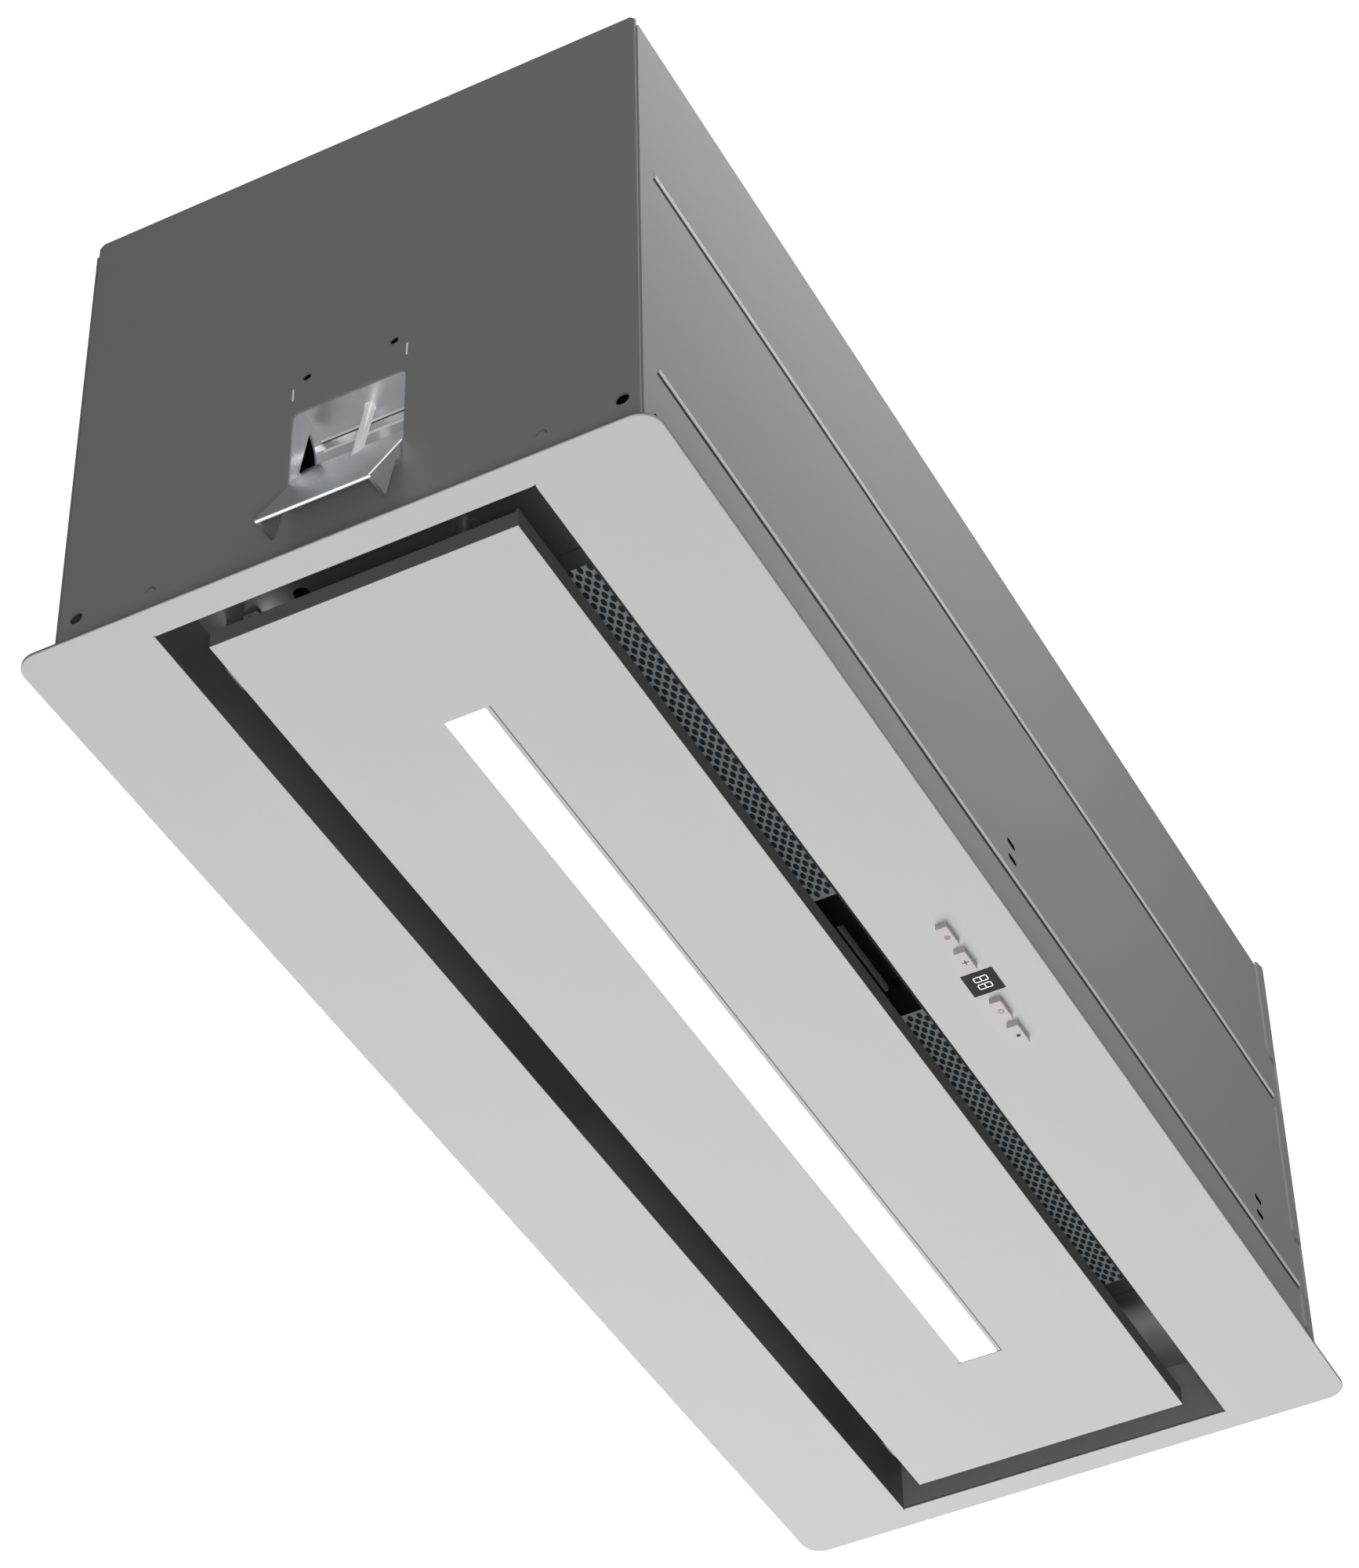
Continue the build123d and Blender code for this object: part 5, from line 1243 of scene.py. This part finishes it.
class Blower(SubAssembly):
    """Scroll casing, impeller and motor."""

    def dress(self) -> None:
        """Give the blower its finishes."""
        casing = ("scroll_wrap", "scroll_sides", "inlet_rings", "motor_bracket")
        self.paint.dress(casing, FINISH.zinc)
        self.paint.dress(("impeller", "impeller_rings"), FINISH.zinc)
        self.paint.dress(("impeller_blades",), FINISH.aluminium)
        self.paint.dress(("motor_rotor", "motor_stator"), FINISH.steel)
        self.paint.dress(("motor_shell",), FINISH.aluminium)
        self.paint.dress(("motor_bearings",), FINISH.brass)
        self.paint.dress(("motor_grommets",), FINISH.rubber)


class Electrics(SubAssembly):
    """Power box, board and capacitor."""

    def dress(self) -> None:
        """Give the electrics their finishes."""
        self.paint.dress(("power_box", "power_box_lid"), FINISH.black)
        self.paint.dress(("power_board",), FINISH.board)
        self.paint.dress(("run_capacitor",), FINISH.grey)
        self.paint.dress(("capacitor_strap",), FINISH.zinc)


@dataclass(frozen=True)
class Lamp:
    """An area light.

    Attributes:
        name: Name of the light.
        place: Its place in metres.
        target: The point that it faces.
        side: Length of its sides in metres.
        power: Its power in watts.
    """

    name: str
    place: Triple
    target: Triple
    side: float
    power: float


@dataclass(frozen=True)
class CameraPose:
    """Camera as solved from the photograph, with its place and reach in metres."""

    place: tuple[float, float, float] = (-1.3441, -0.6444, -1.2411)
    look: tuple[float, float, float] = (0.6509, 0.3252, 0.6860)
    up: tuple[float, float, float] = (-0.6031, -0.3273, 0.7274)
    lens_mm: float = 104.18
    sensor_mm: float = 36.0
    reach: float = 60.0


@dataclass(frozen=True)
class RoomLight:
    """Brightness of the room round the hood.

    Attributes:
        grey: Its grey in linear light.
        light: Strength on dull surfaces.
        mirrored: Strength in mirroring surfaces.
        seen: What the camera sees on top of that.
    """

    grey: float = 0.9
    light: float = 0.12
    mirrored: float = 0.7
    seen: float = 1.0


@dataclass(frozen=True)
class StageSizes:
    """Sizes of floor and backdrop in metres."""

    floor_side: float = 24.0
    floor_z: float = -3.4
    backdrop_side: float = 30.0
    backdrop_distance: float = 8.0
    thickness: float = 0.02


class Studio:
    """Backdrop, floor, lights and camera."""

    lamps = (
        Lamp("UnderNear", (0.35, 0.25, -2.1), (0.0, 0.0, 0.0), side=1.6, power=15.5),
        Lamp("UnderFar", (1.5, 1.0, -1.6), (0.0, 0.0, 0.0), side=1.6, power=30.5),
        Lamp("FrontLight", (-0.33, -0.64, 0.65), (-0.1, -0.13, 0.12), side=0.25, power=3.8),
        Lamp("NearLight", (-1.9, -1.0, -1.98), (-0.33, 0.0, 0.12), side=0.5, power=12.3),
        Lamp("BackFill", (1.5, 2.3, 1.5), (0.0, 0.0, 0.15), side=1.6, power=70.0),
    )
    lamp_up = (0, 1, 0.1)
    camera = CameraPose()
    room = RoomLight()
    sizes = StageSizes()

    def __init__(self, paint: Paintbox, shop: Workshop) -> None:
        """Keep the tools.

        Args:
            paint: Gives materials.
            shop: Makes pieces.
        """
        self.paint = paint
        self.shop = shop

    @staticmethod
    def _facing(direction: Vector, up: Vector) -> Matrix:
        """Give the turn that makes -Z look along a direction.

        Args:
            direction: Where to look.
            up: What is up in view.

        Returns:
            The turn as a matrix.
        """
        back = -direction.normalized()
        right = up.cross(back).normalized()
        true_up = back.cross(right)
        return Matrix((right, true_up, back)).transposed().to_4x4()

    def build(self) -> None:
        """Set up everything round the hood."""
        self._camera()
        self._surroundings()
        for lamp in self.lamps:
            self._lamp(lamp)
        self._room()
        bpy.context.scene.view_settings.view_transform = "Standard"

    def _room(self) -> None:
        """Fill the room with a dim light that mirroring metal sees as bright walls."""
        room = self.room
        world = bpy.data.worlds.new("Room")
        bpy.context.scene.world = world
        world.use_nodes = True
        wiring = Wiring(world.node_tree)
        background = wiring.tree.nodes["Background"]
        background.inputs["Color"].default_value = (room.grey, room.grey, room.grey, 1)
        path = wiring.add("ShaderNodeLightPath")
        level = wiring.add("ShaderNodeMapRange", {"To Min": room.light, "To Max": room.mirrored})
        seen = wiring.add("ShaderNodeMath", {1: room.seen}, operation="MULTIPLY_ADD")
        wiring.join(path.outputs["Is Glossy Ray"], level.inputs["Value"])
        wiring.join(path.outputs["Is Camera Ray"], seen.inputs[0])
        wiring.join(level.outputs["Result"], seen.inputs[2])
        wiring.join(seen.outputs[0], background.inputs["Strength"])

    def _camera(self) -> None:
        """Place the camera."""
        pose = self.camera
        data = bpy.data.cameras.new("Camera")
        data.sensor_width = pose.sensor_mm
        data.lens = pose.lens_mm
        data.clip_end = pose.reach
        camera = bpy.data.objects.new("Camera", data)
        bpy.context.collection.objects.link(camera)
        turn = self._facing(Vector(pose.look), Vector(pose.up))
        camera.matrix_world = Matrix.Translation(pose.place) @ turn
        bpy.context.scene.camera = camera

    def _surroundings(self) -> None:
        """Lay the floor and stand the backdrop behind the hood as the camera sees it."""
        size = self.sizes
        floor = self.shop.plate(
            "floor", (0, 0, size.floor_z), (size.floor_side, size.floor_side, size.thickness),
        )
        self._stage(floor, FINISH.floor)
        backdrop = self.shop.plate(
            "backdrop", (0, 0, 0), (size.backdrop_side, size.backdrop_side, size.thickness),
        )
        look = Vector(self.camera.look)
        turn = self._facing(look, Vector(self.camera.up))
        backdrop.data.transform(Matrix.Translation(look * size.backdrop_distance) @ turn)
        self._stage(backdrop, FINISH.backdrop)

    def _stage(self, piece: bpy.types.Object, finish: Finish) -> None:
        """Finish a piece of the surroundings, which isn't part of the hood.

        Args:
            piece: The piece.
            finish: Its finish.
        """
        piece.data.materials.append(self.paint.get(finish))
        LOG.info("stage %s", piece.name)

    def _lamp(self, lamp: Lamp) -> None:
        """Place a light.

        Args:
            lamp: The light's numbers.
        """
        data = bpy.data.lights.new(lamp.name, "AREA")
        data.shape = "RECTANGLE"
        data.size = data.size_y = lamp.side
        data.energy = lamp.power
        light = bpy.data.objects.new(lamp.name, data)
        bpy.context.collection.objects.link(light)
        direction = Vector(lamp.target) - Vector(lamp.place)
        turn = self._facing(direction, Vector(self.lamp_up))
        light.matrix_world = Matrix.Translation(lamp.place) @ turn


def main() -> None:
    """Dress the hood, make its fine pieces and set up the studio."""
    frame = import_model()
    paint = Paintbox(EffectLibrary(), frame["nodes"])
    shop = Workshop()
    for assembly in (
        Housing, FramePanel, Controls, CentrePanel, GreaseFilter, Clamps, Outlet, Blower, Electrics,
    ):
        made = assembly(paint, shop)
        made.dress()
        made.build()
        LOG.info("assembly %s", assembly.__name__)
    Studio(paint, shop).build()


if __name__ == "__main__":
    main()
